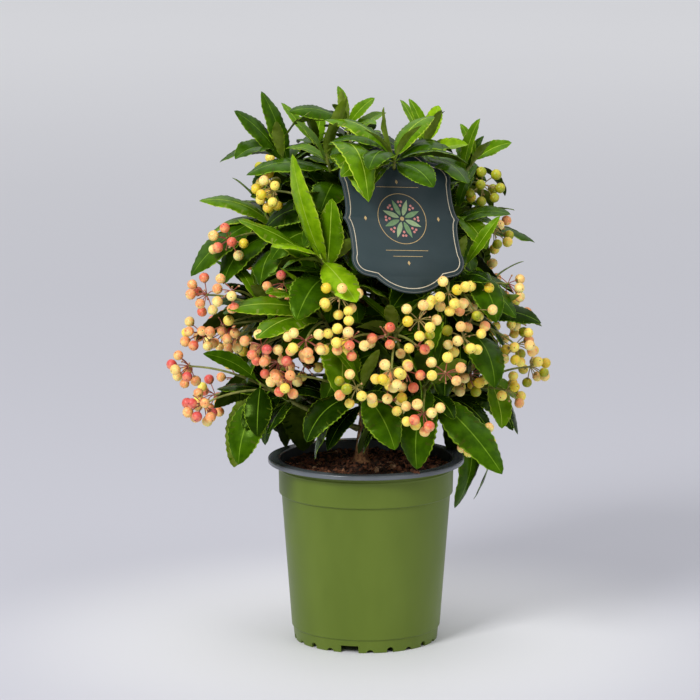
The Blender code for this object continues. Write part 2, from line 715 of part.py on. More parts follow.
def spiral_leaves(shoot, path, posed):
    """The other leaves of a shoot, on a spiral that fills the turns which its posed ones leave free."""
    rng = random.Random("spiral leaves of " + shoot.name)
    leaves = []
    spread = 180.0 if shoot.reach < CREST_REACH else SIDE_SPREAD
    leafy = PAST_EYE if shoot.name == LABEL_SHOOT else LEAFY_SHARE
    lift = TIER_LIFT * (shoot.height - TIER_MIDDLE)
    for i in range(shoot.leaves):
        age = 1 - i / (shoot.leaves - 1)
        share = (i * GOLDEN_SHARE + shoot.spin) % 1
        turn = shoot.turn + spread * (2 * share - 1) + rng.uniform(-CHANCE_TURN, CHANCE_TURN)
        young = i >= shoot.leaves - YOUNG_LEAVES
        length = shoot.blade * (YOUNG_SCALE if young else 0.95 + 0.2 * age)
        length *= rng.uniform(1 - CHANCE_SIZE, 1 + CHANCE_SIZE)
        rise = YOUNG_RISE if young else TIP_RISE - AGE_FALL * age + lift
        rise += rng.uniform(-CHANCE_TURN, CHANCE_TURN)
        bend = YOUNG_BEND if young else shoot.droop * (0.9 + 0.5 * age)
        bend += rng.uniform(-CHANCE_TURN, CHANCE_TURN)
        base = bezier(*path, 1 - (1 - leafy) * age)
        width = length * (YOUNG_WIDTH if young else LEAF_WIDTH)
        width *= rng.uniform(1 - CHANCE_SIZE, 1 + CHANCE_SIZE)
        roll = rng.uniform(-CHANCE_ROLL, CHANCE_ROLL)
        solid = i % FINE_EVERY != FINE_EVERY - 1
        leaf = Leaf(base, turn, rise, length, bend, width, roll, age, young, solid)
        crowded = any(abs((leaf.turn - other.turn + 180) % 360 - 180) < CROWDED_TURN
                      and abs(leaf.rise - other.rise) < CROWDED_RISE for other in posed)
        tip = leaf_tip(leaf)
        hides_soil = tip.y < OPEN_FRONT and tip.z < OPEN_HEIGHT
        if not crowded and not hides_soil:
            leaves.append(leaf)
    return leaves


def posed_umbels(shoot, path):
    """The bunches of berries of a shoot whose stalks end in a place of their own."""
    rng = random.Random("posed umbels of " + shoot.name)
    posed = POSED_BUNCHES.get(shoot.name, ())
    bunches = []
    for i, end in enumerate(posed):
        base = bezier(*path, BUNCHES_FROM + 0.25 * (i + 0.5) / len(posed))
        turn, rise, length = aimed(base, end, STALK_BEND)
        bunches.append(Umbel(base, turn, rise, length, STALK_BEND, rng.randint(10, 12)))
    return bunches


def spread_umbels(shoot, path):
    """The other bunches of a shoot, on stalks that spread out below its leaves."""
    rng = random.Random("spread umbels of " + shoot.name)
    bunches = []
    for i in range(len(POSED_BUNCHES.get(shoot.name, ())), shoot.umbels):
        base = bezier(*path, BUNCHES_FROM + 0.20 * rng.random())
        fan = (i + 0.5) / shoot.umbels * 2 - 1
        turn = shoot.turn + UMBEL_FAN * fan + rng.uniform(-CHANCE_TURN, CHANCE_TURN)
        length = rng.uniform(*STALK_LENGTHS)
        rise = rng.uniform(*STALK_RISES)
        bend = rng.uniform(*STALK_BENDS)
        bunches.append(Umbel(base, turn, rise, length, bend, rng.randint(8, 11)))
    return bunches


def berry_centres(umbel, end):
    """Even places for an umbel's berries, on a cap that faces the way its stalk points."""
    axis = heading(umbel.turn, umbel.rise - umbel.bend - UMBEL_FALL)
    turn_to = Vector((0, 0, 1)).rotation_difference(axis)
    centres = []
    for i in range(umbel.berries):
        polar = math.acos(1 - (1 - math.cos(math.radians(UMBEL_SPREAD))) * (i + 0.5) / umbel.berries)
        around = math.radians(GOLDEN_TURN * i)
        spoke = Vector((math.sin(polar) * math.cos(around), math.sin(polar) * math.sin(around),
                        math.cos(polar)))
        centres.append(end + turn_to @ spoke * PEDICEL)
    return centres


def grow_leaves(shoot, wanted_leaves, own, others):
    """The leaves that are wanted, each turned and rolled a little until it keeps clear, or skipped."""
    leaves = []
    for wanted in wanted_leaves:
        for (turned, raised), rolled in itertools.product(tries(), ROLL_TRIES):
            leaf = wanted._replace(turn=wanted.turn + turned, rise=wanted.rise + raised,
                                   roll=wanted.roll + rolled)
            outer = tree_of(leaf_mesh(leaf, CLEARANCE, OUTER_PART))
            whole = tree_of(leaf_mesh(leaf, CLEARANCE))
            if within_space(shoot, leaf_tip(leaf)) and is_clear(outer, own) and is_clear(whole, others):
                leaves.append(leaf)
                own.append(outer)
                break
    return leaves


def grow_bunches(wanted_bunches, own, others):
    """The bunches of a shoot, each turned a little until its stalk and most of its berries are clear."""
    bunches = []
    for wanted in wanted_bunches:
        for turned, raised in tries():
            umbel = wanted._replace(turn=wanted.turn + turned, rise=wanted.rise + raised)
            stalk = bent_path(umbel.base, umbel.turn, umbel.rise, umbel.length, umbel.bend, STALK_SHARES)
            whole = tree_of(twig_mesh(stalk, [STALK_RADIUS + CLEARANCE] * 4))
            outer = tree_of(twig_mesh(stalk[1:], [STALK_RADIUS + CLEARANCE] * 3))
            if not (is_clear(outer, own) and is_clear(whole, others)):
                continue
            berries = []
            for centre in berry_centres(umbel, stalk[-1]):
                fruit = tree_of(berry_mesh(centre, stalk[-1], CLEARANCE))
                spoke = tree_of(twig_mesh([stalk[-1], centre], [PEDICEL_RADIUS + CLEARANCE] * 2))
                if is_clear(fruit, own + others) and is_clear(spoke, others):
                    berries.append((centre, fruit))
            if len(berries) * 3 >= umbel.berries * 2:
                bunches.append((stalk, [centre for centre, _ in berries]))
                own.extend(fruit for _, fruit in berries)
                own.append(outer)
                break
    return bunches


def mass_body(shoot, path, leaves, bunches):
    """A search tree of everything that a mass carries."""
    meshes = [stem_mesh(shoot, path)] + [leaf_mesh(leaf) for leaf in leaves]
    for stalk, centres in bunches:
        meshes.append(twig_mesh(stalk, [STALK_RADIUS] * len(stalk)))
        for centre in centres:
            meshes.append(berry_mesh(centre, stalk[-1]))
            meshes.append(twig_mesh([stalk[-1], centre], [PEDICEL_RADIUS] * 2))
    return tree_of(*meshes)


def grow_plant():
    """The path of each shoot's limb, and the leaves and bunches that each shoot carries."""
    trunk_tree = tree_of(trunk_guard())
    label_tree = tree_of(label_guard())
    paths = clear_paths(trunk_tree, label_tree)
    boughs = [tree_of(twig_mesh(*bough_line(paths[shoot.name]), sides=6))
              for shoot in SHOOTS if has_bough(shoot)]
    fixed = [tree_of(pot_guard()), trunk_tree, label_tree] + boughs
    bodies = {shoot.name: tree_of(stem_mesh(shoot, paths[shoot.name])) for shoot in SHOOTS}
    inner = {shoot.name: [] for shoot in SHOOTS}
    grown = {shoot.name: ([], []) for shoot in SHOOTS}
    for posed in (True, False):
        for shoot in SHOOTS:
            path = paths[shoot.name]
            own = inner[shoot.name]
            others = fixed + [tree for name, tree in bodies.items() if name != shoot.name]
            leaves, bunches = grown[shoot.name]
            if posed:
                leaves += grow_leaves(shoot, posed_leaves(shoot, path), own, others)
                bunches += grow_bunches(posed_umbels(shoot, path), own, others)
            else:
                bunches += grow_bunches(spread_umbels(shoot, path), own, others)
                leaves += grow_leaves(shoot, spiral_leaves(shoot, path, list(leaves)), own, others)
            bodies[shoot.name] = mass_body(shoot, path, leaves, bunches)
    return paths, grown


# The solid of each mass

def unite(name, stem, pieces, tips, collection, material):
    """Join a stem and the pieces sunk in it into one solid that still comes to every tip."""
    loose = bpy.data.collections.new(name + "_pieces")
    bpy.context.scene.collection.children.link(loose)
    for i, mesh in enumerate(pieces):
        add_object(f"{name}_piece_{i}", mesh, loose)
    obj = add_object(name, stem, collection, material)
    join = obj.modifiers.new("join", "BOOLEAN")
    join.operation = "UNION"
    join.operand_type = "COLLECTION"
    join.collection = loose
    join.solver = "MANIFOLD"
    thin = obj.modifiers.new("thin", "DECIMATE")
    for share in KEPT_FACES:
        thin.ratio = share
        mesh = evaluated_mesh(obj, weld=0)
        drop_scraps(mesh)
        if is_closed(mesh) and reaches(mesh, tips) and not crosses_itself(mesh):
            break
    settle(obj, mesh)
    for piece in list(loose.objects):
        mesh = piece.data
        bpy.data.objects.remove(piece)
        bpy.data.meshes.remove(mesh)
    bpy.data.collections.remove(loose)
    return obj


def mass_pieces(leaves, bunches):
    """Closed meshes of a mass's main leaves, its stalks and some of its berries."""
    pieces = [leaf_mesh(leaf) for leaf in leaves if leaf.solid]
    for stalk, centres in bunches:
        pieces.append(twig_mesh(stalk[::3] if len(stalk) > 3 else stalk, [STALK_RADIUS] * 2))
        for centre in centres[::BERRIES_IN_SOLID]:
            pieces.append(berry_mesh(centre, stalk[-1]))
            pieces.append(twig_mesh([stalk[-1], centre], [PEDICEL_RADIUS] * 2))
    return pieces


# Pot and soil

def turned(name, profile, steps, collection, material):
    """A turned solid from a profile of radius and height pairs."""
    mesh = bpy.data.meshes.new(name)
    edges = [(i, i + 1) for i in range(len(profile) - 1)]
    mesh.from_pydata([(radius, 0, height) for radius, height in profile], edges, [])
    obj = add_object(name, mesh, collection, material)
    screw = obj.modifiers.new("turn", "SCREW")
    screw.steps = steps
    screw.render_steps = steps
    screw.use_merge_vertices = True
    screw.merge_threshold = 0.00001
    return obj


def pot_profile():
    """The pot's section: up the inside from the floor, over the lip and down the outside."""
    floor_top = FLOOR_UNDERSIDE + FLOOR_SKIN
    return [
        (0, floor_top), (BODY_FOOT_RADIUS - 0.0030, floor_top), (BODY_FOOT_RADIUS - SKIN, floor_top + 0.0020),
        (BODY_TOP_RADIUS - SKIN, COLLAR_FOOT - 0.0015), (COLLAR_FOOT_RADIUS - SKIN, COLLAR_FOOT + 0.0010),
        (COLLAR_TOP_RADIUS - SKIN, RIM_TOP - RIM_SKIN), (COLLAR_TOP_RADIUS, RIM_TOP),
        (RIM_RADIUS - 0.0009, RIM_TOP), (RIM_RADIUS, RIM_TOP - 0.0009), (RIM_RADIUS, RIM_TOP - RIM_DROP),
        (RIM_RADIUS - SKIN, RIM_TOP - RIM_DROP), (RIM_RADIUS - SKIN, RIM_TOP - RIM_SKIN),
        (COLLAR_TOP_RADIUS, RIM_TOP - RIM_SKIN), (COLLAR_FOOT_RADIUS, COLLAR_FOOT),
        (BODY_TOP_RADIUS, COLLAR_FOOT - 0.0006), (BODY_FOOT_RADIUS, FOOT_HEIGHT),
        (FOOT_STEP_RADIUS, FOOT_HEIGHT - 0.0005), (FOOT_RADIUS, 0), (FOOT_RADIUS - FOOT_WALL, 0),
        (FOOT_RADIUS - FOOT_WALL, FLOOR_UNDERSIDE), (PAD_RADIUS, FLOOR_UNDERSIDE), (PAD_RADIUS, 0), (0, 0),
    ]


def place_cutter(obj, turn, radius, height):
    """Turn a cutter to face outward at a place on a circle."""
    obj.matrix_world = (Matrix.Rotation(math.radians(turn), 4, "Z")
                        @ Matrix.Translation((radius, 0, height)))
    obj.hide_render = True
    obj.display_type = "WIRE"


def round_cutter(name, radius, length, lying, collection):
    """A cylinder that cuts a notch where it lies, or a drain hole where it stands."""
    mesh = bpy.data.meshes.new(name)
    bm = bmesh.new()
    lie = Matrix.Rotation(math.radians(90), 4, "Y") if lying else Matrix.Identity(4)
    bmesh.ops.create_cone(bm, cap_ends=True, segments=10, radius1=radius, radius2=radius,
                          depth=length, matrix=lie)
    bm.to_mesh(mesh)
    bm.free()
    return add_object(name, mesh, collection)


def box_cutter(name, size, collection):
    """A box that cuts the wide notch."""
    mesh = bpy.data.meshes.new(name)
    bm = bmesh.new()
    bmesh.ops.create_cube(bm, size=1.0, matrix=Matrix.Diagonal((*size, 1)))
    bm.to_mesh(mesh)
    bm.free()
    return add_object(name, mesh, collection)


def build_cutters(collection):
    """Cutters for the notches round the foot, tall and low in turn with one wide, and the drain holes."""
    pitch = 360 / NOTCH_PAIRS
    depth = 4 * FOOT_WALL
    ring = FOOT_RADIUS - FOOT_WALL / 2
    wide = box_cutter("wide_notch", (depth, WIDE_NOTCH_WIDTH, 2 * WIDE_NOTCH_HEIGHT), collection)
    place_cutter(wide, WIDE_NOTCH_TURN, ring, 0)
    for i in range(NOTCH_PAIRS):
        turn = WIDE_NOTCH_TURN + pitch * i
        low = round_cutter(f"low_notch_{i}", LOW_NOTCH_RADIUS, depth, True, collection)
        place_cutter(low, turn + pitch / 2, ring, LOW_NOTCH_HEIGHT - LOW_NOTCH_RADIUS)
        if i > 0:
            tall = round_cutter(f"tall_notch_{i}", TALL_NOTCH_RADIUS, depth, True, collection)
            place_cutter(tall, turn, ring, TALL_NOTCH_HEIGHT - TALL_NOTCH_RADIUS)
    for i in range(DRAIN_HOLES):
        hole = round_cutter(f"drain_{i}", DRAIN_RADIUS, 4 * FLOOR_SKIN, False, collection)
        place_cutter(hole, 360 * i / DRAIN_HOLES, DRAIN_CIRCLE, FLOOR_UNDERSIDE + FLOOR_SKIN / 2)


def build_pot(collection, cutters, material):
    """The thin pot: rolled lip, collar, tapering wall, raised floor and a notched foot ring."""
    pot = turned("pot", pot_profile(), POT_STEPS, collection, material)
    build_cutters(cutters)
    cut = pot.modifiers.new("notches", "BOOLEAN")
    cut.operation = "DIFFERENCE"
    cut.operand_type = "COLLECTION"
    cut.collection = cutters
    cut.solver = "EXACT"
    settle(pot, evaluated_mesh(pot))
    return pot


def build_soil(collection, material):
    """The potting soil that fills the pot, mounded a little towards the trunk."""
    floor = FLOOR_UNDERSIDE + FLOOR_SKIN + GAP
    foot = BODY_FOOT_RADIUS - 0.0034
    body = BODY_TOP_RADIUS - SKIN - 3 * GAP
    edge = COLLAR_FOOT_RADIUS - SKIN - 3 * GAP
    profile = [
        (0, SOIL_CROWN), (SOIL_FLAT_RADIUS, SOIL_CROWN), (edge, SOIL_EDGE), (edge, COLLAR_FOOT + 0.0020),
        (body, COLLAR_FOOT - 0.0015), (foot, floor), (0, floor),
    ]
    soil = turned("potting_soil", profile, SOIL_STEPS, collection, material)
    settle(soil, evaluated_mesh(soil))
    return soil


# Label plate

def build_label(collection, material):
    """The hanging plate, with an eye near its top that a shoot comes through."""
    right = label_outline()
    outline = right + [(-x, y) for x, y in reversed(right[1:-1])]
    eye = []
    for i in range(LABEL_EYE_STEPS):
        turn = 2 * math.pi * i / LABEL_EYE_STEPS
        eye.append((LABEL_EYE_RADIUS * math.cos(turn), LABEL_EYE_UP + LABEL_EYE_RADIUS * math.sin(turn)))
    curve = bpy.data.curves.new("label_plate", "CURVE")
    curve.dimensions = "2D"
    curve.fill_mode = "BOTH"
    curve.extrude = LABEL_THICKNESS / 2
    for loop in (outline, eye):
        spline = curve.splines.new("POLY")
        spline.points.add(len(loop) - 1)
        spline.use_cyclic_u = True
        for spot, (x, y) in zip(spline.points, loop):
            spot.co = (x, y, 0, 1)
    plate = add_object("label_plate", curve, collection, material)
    axes = Matrix(label_axes()).transposed().to_4x4()
    plate.matrix_world = Matrix.Translation(LABEL_MIDDLE) @ axes
    return plate


def main():
    """Build every part of the plant and its pot."""
    for obj in list(bpy.data.objects):
        bpy.data.objects.remove(obj)
    plant = bpy.data.collections.new("potted_coral_ardisia")
    cutters = bpy.data.collections.new("cutters")
    bpy.context.scene.collection.children.link(plant)
    bpy.context.scene.collection.children.link(cutters)

    plastic = principled("pot_plastic", (0.122, 0.168, 0.035), 0.45)
    peat = principled("potting_soil", (0.035, 0.018, 0.010), 0.95)
    bark = principled("bark", (0.120, 0.065, 0.030), 0.85)
    green_bark = principled("green_bark", (0.110, 0.130, 0.030), 0.60)
    foliage = principled("foliage", (0.045, 0.130, 0.012), 0.35)
    slate = principled("label_card", (0.030, 0.045, 0.055), 0.50)

    build_pot(plant, cutters, plastic)
    build_soil(plant, peat)
    build_trunk(plant, bark)
    build_label(plant, slate)
    paths, grown = grow_plant()
    for shoot in SHOOTS:
        path = paths[shoot.name]
        if has_bough(shoot):
            name = shoot.name.replace("leaves", "bough")
            limb_curve(name, *bough_line(path), plant, green_bark, resolution=0)
        leaves, bunches = grown[shoot.name]
        tips = [leaf_tip(leaf) for leaf in leaves if leaf.solid]
        unite(shoot.name, stem_mesh(shoot, path), mass_pieces(leaves, bunches), tips, plant, foliage)


main()
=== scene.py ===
# %% [markdown]
# A potted coral ardisia is a small evergreen shrub: a thin trunk, side shoots that each end in a
# rosette of glossy leaves, and bunches of berries hung below them. The imported solids hold its true
# places and sizes, so the script begins by loading them.

# %% Load the frame
import itertools
import math
import random
from collections import namedtuple

import bmesh
import bpy
from mathutils import Matrix, Vector, geometry, noise
from mathutils.bvhtree import BVHTree


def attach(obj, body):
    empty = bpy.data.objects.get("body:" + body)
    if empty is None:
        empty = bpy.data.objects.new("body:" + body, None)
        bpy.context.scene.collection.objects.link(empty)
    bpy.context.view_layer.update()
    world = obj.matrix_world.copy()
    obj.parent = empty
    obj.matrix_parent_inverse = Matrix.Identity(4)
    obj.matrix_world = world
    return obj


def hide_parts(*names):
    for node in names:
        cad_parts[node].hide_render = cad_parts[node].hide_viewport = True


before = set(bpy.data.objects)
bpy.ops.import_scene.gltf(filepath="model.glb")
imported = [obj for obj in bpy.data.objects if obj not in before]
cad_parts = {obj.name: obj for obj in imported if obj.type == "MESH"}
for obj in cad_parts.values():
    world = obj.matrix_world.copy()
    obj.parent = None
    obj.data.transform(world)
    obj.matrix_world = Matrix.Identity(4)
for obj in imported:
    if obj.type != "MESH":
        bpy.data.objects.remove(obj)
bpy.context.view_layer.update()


# %% [markdown]
# Materials are written as sums. A wrapped socket knows how to add, multiply and mix itself by making
# the node that does it, so that a recipe reads like arithmetic and each node appears where its
# operator stands. The other way, making and linking every node by name, hides the recipe.

# %% Shader arithmetic
class Field:
    """A socket of one material, which makes Math nodes as it is added to or multiplied."""

    def __init__(self, tree, socket):
        self.tree = tree
        self.socket = socket

    def node(self, kind, settings=None, **values):
        """A new node in the same tree: settings first, then values or links of its sockets."""
        made = self.tree.nodes.new(kind)
        for name, value in (settings or {}).items():
            setattr(made, name, value)
        for name, value in values.items():
            socket = made.inputs[int(name[1:])] if name[1:].isdigit() else made.inputs[name.replace("_", " ")]
            if isinstance(value, Field):
                self.tree.links.new(value.socket, socket)
            else:
                socket.default_value = value
        return made

    def math(self, operation, *values):
        named = {f"i{i}": value for i, value in enumerate(values)}
        return Field(self.tree, self.node("ShaderNodeMath", {"operation": operation}, **named).outputs[0])

    def __add__(self, other):
        return self.math("ADD", self, other)

    def __mul__(self, other):
        return self.math("MULTIPLY", self, other)

    def __sub__(self, other):
        return self.math("SUBTRACT", self, other)

    def __rsub__(self, other):
        return self.math("SUBTRACT", other, self)

    __radd__ = __add__
    __rmul__ = __mul__

    def step(self, low, high):
        """A soft step from 0 to 1 between two values."""
        made = self.node("ShaderNodeMapRange", {"interpolation_type": "SMOOTHSTEP"},
                         Value=self, From_Min=low, From_Max=high)
        return Field(self.tree, made.outputs[0])

    def paint(self, first, second):
        """A colour that goes from the first to the second as this field goes from 0 to 1."""
        made = self.node("ShaderNodeMix", {"data_type": "RGBA"}, i0=self, i6=first, i7=second)
        return Field(self.tree, made.outputs[2])

    def stretched(self, x, y, z):
        """A place with its axes stretched, so that a pattern on it is drawn out."""
        made = self.node("ShaderNodeVectorMath", {"operation": "MULTIPLY"}, i0=self, i1=(x, y, z))
        return Field(self.tree, made.outputs[0])

    def length(self):
        """How far a place lies from the origin."""
        made = self.node("ShaderNodeVectorMath", {"operation": "LENGTH"}, i0=self)
        return Field(self.tree, made.outputs[1])

    def upward(self):
        """How much of a direction points up."""
        made = self.node("ShaderNodeVectorMath", {"operation": "DOT_PRODUCT"}, i0=self, i1=(0, 0, 1))
        return Field(self.tree, made.outputs[1])


def rgb(red, green, blue):
    """A linear colour from the 0 to 255 values that a screen shows."""
    def linear(value):
        value = value / 255
        return value / 12.92 if value < 0.04045 else ((value + 0.055) / 1.055) ** 2.4
    return linear(red), linear(green), linear(blue), 1.0


def finish(name, colour, roughness, **constants):
    """A material, its shader and a field that says where on the object each point lies."""
    material = bpy.data.materials.new(name)
    material.use_nodes = True
    tree = material.node_tree
    shader = tree.nodes["Principled BSDF"]
    shader.inputs["Base Color"].default_value = colour
    shader.inputs["Roughness"].default_value = roughness
    for socket, value in constants.items():
        shader.inputs[socket.replace("_", " ")].default_value = value
    place = Field(tree, tree.nodes.new("ShaderNodeTexCoord").outputs["Object"])
    return material, shader, place


def feed(shader, name, field):
    """Link a field to a socket of the shader."""
    field.tree.links.new(field.socket, shader.inputs[name])


def cloud(place, scale, detail=3.0, roughness=0.55):
    """Cloudy noise of a scale in lumps a metre."""
    made = place.node("ShaderNodeTexNoise", None, Vector=place, Scale=scale, Detail=detail,
                      Roughness=roughness)
    return Field(place.tree, made.outputs[0])


def bump(shader, height, strength, distance):
    """Small relief from a height field, in metres."""
    made = height.node("ShaderNodeBump", None, Height=height, Strength=strength, Distance=distance)
    height.tree.links.new(made.outputs[0], shader.inputs["Normal"])


def speckled(name, dark, pale, scale, roughness, relief, spread=(0.35, 0.65), **constants):
    """A finish whose colour clouds from dark to pale, with a fine relief of its own depth in metres."""
    material, shader, place = finish(name, dark, roughness, **constants)
    feed(shader, "Base Color", cloud(place, scale).step(*spread).paint(dark, pale))
    feed(shader, "Roughness", roughness - 0.06 + 0.12 * cloud(place, scale * 3))
    bump(shader, cloud(place, scale * 6), 0.4, relief)
    return material


# %% [markdown]
# The camera stands a little above the plant, with a long lens. The floor is one wide disc with painted
# light in its colour: it is paler near the plant as a painted pool of light, darker round that as painted
# shade, and paler again far out, which makes up for the lamps' fall of light. The light is a dome, bright
# overhead and dim at its foot, with large soft lamps inside it: glossy leaves that face the camera then
# mirror the dim part and keep their deep green, as they do in a studio. A dome of one brightness would
# lay a grey veil over every leaf.

# %% Camera
CAMERA_PLACE = Vector((0.0, -2.4, 0.607))
CAMERA_PITCH = 9.77
CAMERA_YAW = 0.253
LENS = 189.87
SENSOR = 36.0

camera_data = bpy.data.cameras.new("camera")
camera_data.lens = LENS
camera_data.sensor_width = SENSOR
camera = bpy.data.objects.new("camera", camera_data)
bpy.context.scene.collection.objects.link(camera)
camera.matrix_world = (Matrix.Translation(CAMERA_PLACE)
                       @ Matrix.Rotation(math.radians(CAMERA_YAW), 4, "Z")
                       @ Matrix.Rotation(math.radians(90 - CAMERA_PITCH), 4, "X"))
bpy.context.scene.camera = camera
print("lens", LENS, "mm")


# %% Floor and light
FLOOR_RADIUS = 14.0
FLOOR_SIDES = 64
# Floor colours that paint light: a pool of light near the plant, painted shade round it and a paler far
# floor.
NEAR_FLOOR_POOL_OF_LIGHT = rgb(219, 219, 222)
MIDDLE_FLOOR_PAINTED_SHADE = rgb(188, 188, 196)
FAR_FLOOR_PAINTED_LIGHT = rgb(240, 240, 242)
DOME_FOOT = rgb(50, 50, 52)
DOME_TOP = rgb(240, 241, 244)
LAMPS = {
    "key": ((-1.3, -1.9, 1.8), 0.8, 56),
    "fill": ((1.9, -1.5, 1.2), 1.5, 12),
    "top": ((0.2, 0.5, 2.3), 1.4, 5),
}


def new_object(name, data):
    """An object of its own in the scene."""
    made = bpy.data.objects.new(name, data)
    bpy.context.scene.collection.objects.link(made)
    return made


def build_floor():
    """The floor disc, so wide that it has no edge in any view."""
    mesh = bpy.data.meshes.new("floor")
    turns = [2 * math.pi * i / FLOOR_SIDES for i in range(FLOOR_SIDES)]
    mesh.from_pydata([(FLOOR_RADIUS * math.cos(t), FLOOR_RADIUS * math.sin(t), 0) for t in turns], [],
                     [tuple(range(FLOOR_SIDES))])
    floor = new_object("floor", mesh)
    material, shader, place = finish("studio_floor", MIDDLE_FLOOR_PAINTED_SHADE, 0.6)
    away = place.length()
    # Painted light: a pool of light near the plant, painted shade out to 0.3 m, paler again far away.
    ground = away.step(0.10, 0.30).paint(NEAR_FLOOR_POOL_OF_LIGHT, MIDDLE_FLOOR_PAINTED_SHADE)
    feed(shader, "Base Color", away.step(0.3, 5.0).paint(ground, FAR_FLOOR_PAINTED_LIGHT))
    feed(shader, "Roughness", 0.55 + 0.1 * cloud(place, 3.0))
    mesh.materials.append(material)


def soft_light(name, place, size, power):
    """A square lamp that faces the middle of the crown."""
    lamp = bpy.data.lights.new(name, "AREA")
    lamp.shape = "SQUARE"
    lamp.size = size
    lamp.energy = power
    made = new_object(name, lamp)
    made.location = place
    made.rotation_euler = (Vector((0, 0, 0.2)) - Vector(place)).to_track_quat("-Z", "Y").to_euler()


build_floor()
for lamp_name, (lamp_place, lamp_size, lamp_power) in LAMPS.items():
    soft_light(lamp_name, lamp_place, lamp_size, lamp_power)
world = bpy.data.worlds.new("studio")
bpy.context.scene.world = world
world.use_nodes = True
outward = Field(world.node_tree, world.node_tree.nodes.new("ShaderNodeTexCoord").outputs["Generated"])
dome = outward.upward().step(0.0, 0.7).paint(DOME_FOOT, DOME_TOP)
feed(world.node_tree.nodes["Background"], "Color", dome)
bpy.context.scene.view_settings.view_transform = "Standard"
print("lamps", len(LAMPS))


# %% [markdown]
# Every piece below is gathered point by point and then made into one mesh. A small class keeps the
# points, the faces and the finish of each face. Thousands of separate objects would show the same
# picture, but joined meshes load faster.

# %% Gathering a piece
class Gathered:
    """Points and faces of one piece, with the number of a finish for each face."""

    def __init__(self):
        self.points = []
        self.faces = []
        self.slots = []

    def add(self, points, faces, slot=0):
        first = len(self.points)
        self.points.extend(points)
        self.faces.extend([first + i for i in face] for face in faces)
        self.slots.extend([slot] * len(faces))

    def piece(self, name, materials, slot, nodes=(), sharp=40.0):
        """Make the mesh with its finishes, hang it on the root and hide the imported parts it stands for; the
        slot is not used.
        """
        mesh = bpy.data.meshes.new(name)
        mesh.from_pydata(self.points, [], self.faces)
        for material in materials:
            mesh.materials.append(material)
        mesh.polygons.foreach_set("material_index", self.slots)
        mesh.shade_smooth()
        mesh.set_sharp_from_angle(angle=math.radians(sharp))
        made = new_object(name, mesh)
        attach(made, "root")
        if nodes:
            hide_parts(*nodes)
        triangles = sum(len(face) - 2 for face in self.faces)
        print(name, "triangles", triangles)
        return made


def skin(rows, closed=True):
    """Faces between rows of points that have the same number each."""
    across = len(rows[0])
    faces = []
    for i in range(len(rows) - 1):
        for j in range(across if closed else across - 1):
            k = (j + 1) % across
            faces.append((i * across + j, i * across + k, (i + 1) * across + k, (i + 1) * across + j))
    return faces


def heading(turn, rise):
    """The unit vector that faces a turn and a rise."""
    level = math.cos(math.radians(rise))
    return Vector((level * math.cos(math.radians(turn)), level * math.sin(math.radians(turn)),
                   math.sin(math.radians(rise))))


def ring_around(point, along, radius, sides):
    """A ring of points square to a direction."""
    side = along.cross(Vector((0.13, 0.31, 1.0))).normalized()
    up = side.cross(along).normalized()
    turns = [2 * math.pi * i / sides for i in range(sides)]
    return [point + (side * math.cos(turn) + up * math.sin(turn)) * radius for turn in turns]


def rings_along(points, radii, sides):
    """Rings round a line of points, one for each radius."""
    rings = []
    for i, (point, radius) in enumerate(zip(points, radii)):
        along = (points[min(i + 1, len(points) - 1)] - points[max(i - 1, 0)]).normalized()
        rings.append(ring_around(point, along, radius, sides))
    return rings


def tube(points, radii, sides):
    """Points and faces of a closed tube with flat ends."""
    rings = rings_along(points, radii, sides)
    last = len(rings) * sides
    faces = skin(rings) + [tuple(range(sides))[::-1], tuple(range(last - sides, last))]
    return [point for ring in rings for point in ring], faces


# %% [markdown]
# The pot is thin blown plastic, olive green outside and dark grey inside, and the grey is rolled out
# over the lip. One profile turned round the axis makes it all: modelling wall by wall would leave
# seams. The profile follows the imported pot, with its corners rounded and the faint moulded line under
# the lip added. Blown plastic is never one flat tone, so its colour drifts and its gloss varies.

# %% Pot sizes and finishes
POT_STEPS = 144
RIM_RADIUS = 0.0650
RIM_TOP = 0.1222
RIM_DROP = 0.0030
RIM_SKIN = 0.0014
SKIN = 0.0011
COLLAR_TOP_RADIUS = 0.0581
COLLAR_FOOT_RADIUS = 0.0576
COLLAR_FOOT = 0.0989
BODY_TOP_RADIUS = 0.0560
BODY_FOOT_RADIUS = 0.0493
FOOT_HEIGHT = 0.0090
FOOT_STEP_RADIUS = 0.0484
FOOT_RADIUS = 0.0475
FOOT_WALL = 0.0018
FLOOR_UNDERSIDE = 0.0058
FLOOR_SKIN = 0.0014
PAD_RADIUS = 0.0100
MOULDED_LINE = 0.1156
LINE_HEIGHT = 0.0003


def pot_finish():
    """Satin olive plastic with a slow drift of tone and a fine moulded grain."""
    material, shader, place = finish("pot_plastic", rgb(92, 110, 30), 0.36, Specular_IOR_Level=0.22)
    drift = cloud(place.stretched(1, 1, 0.4), 22.0)
    feed(shader, "Base Color", drift.step(0.3, 0.7).paint(rgb(88, 106, 32), rgb(98, 116, 40)))
    feed(shader, "Roughness", 0.32 + 0.12 * cloud(place, 60.0))
    bump(shader, cloud(place, 1500.0) + 3.0 * cloud(place, 60.0), 0.25, 0.00008)
    return material


def lip_finish():
    """The dark grey inner layer, which catches the light on the lip."""
    material, shader, place = finish("pot_lip", rgb(84, 90, 95), 0.22, Specular_IOR_Level=0.8)
    feed(shader, "Base Color", cloud(place, 90.0).paint(rgb(80, 86, 92), rgb(104, 110, 115)))
    feed(shader, "Roughness", 0.18 + 0.12 * cloud(place, 200.0))
    bump(shader, cloud(place, 900.0), 0.2, 0.00006)
    return material


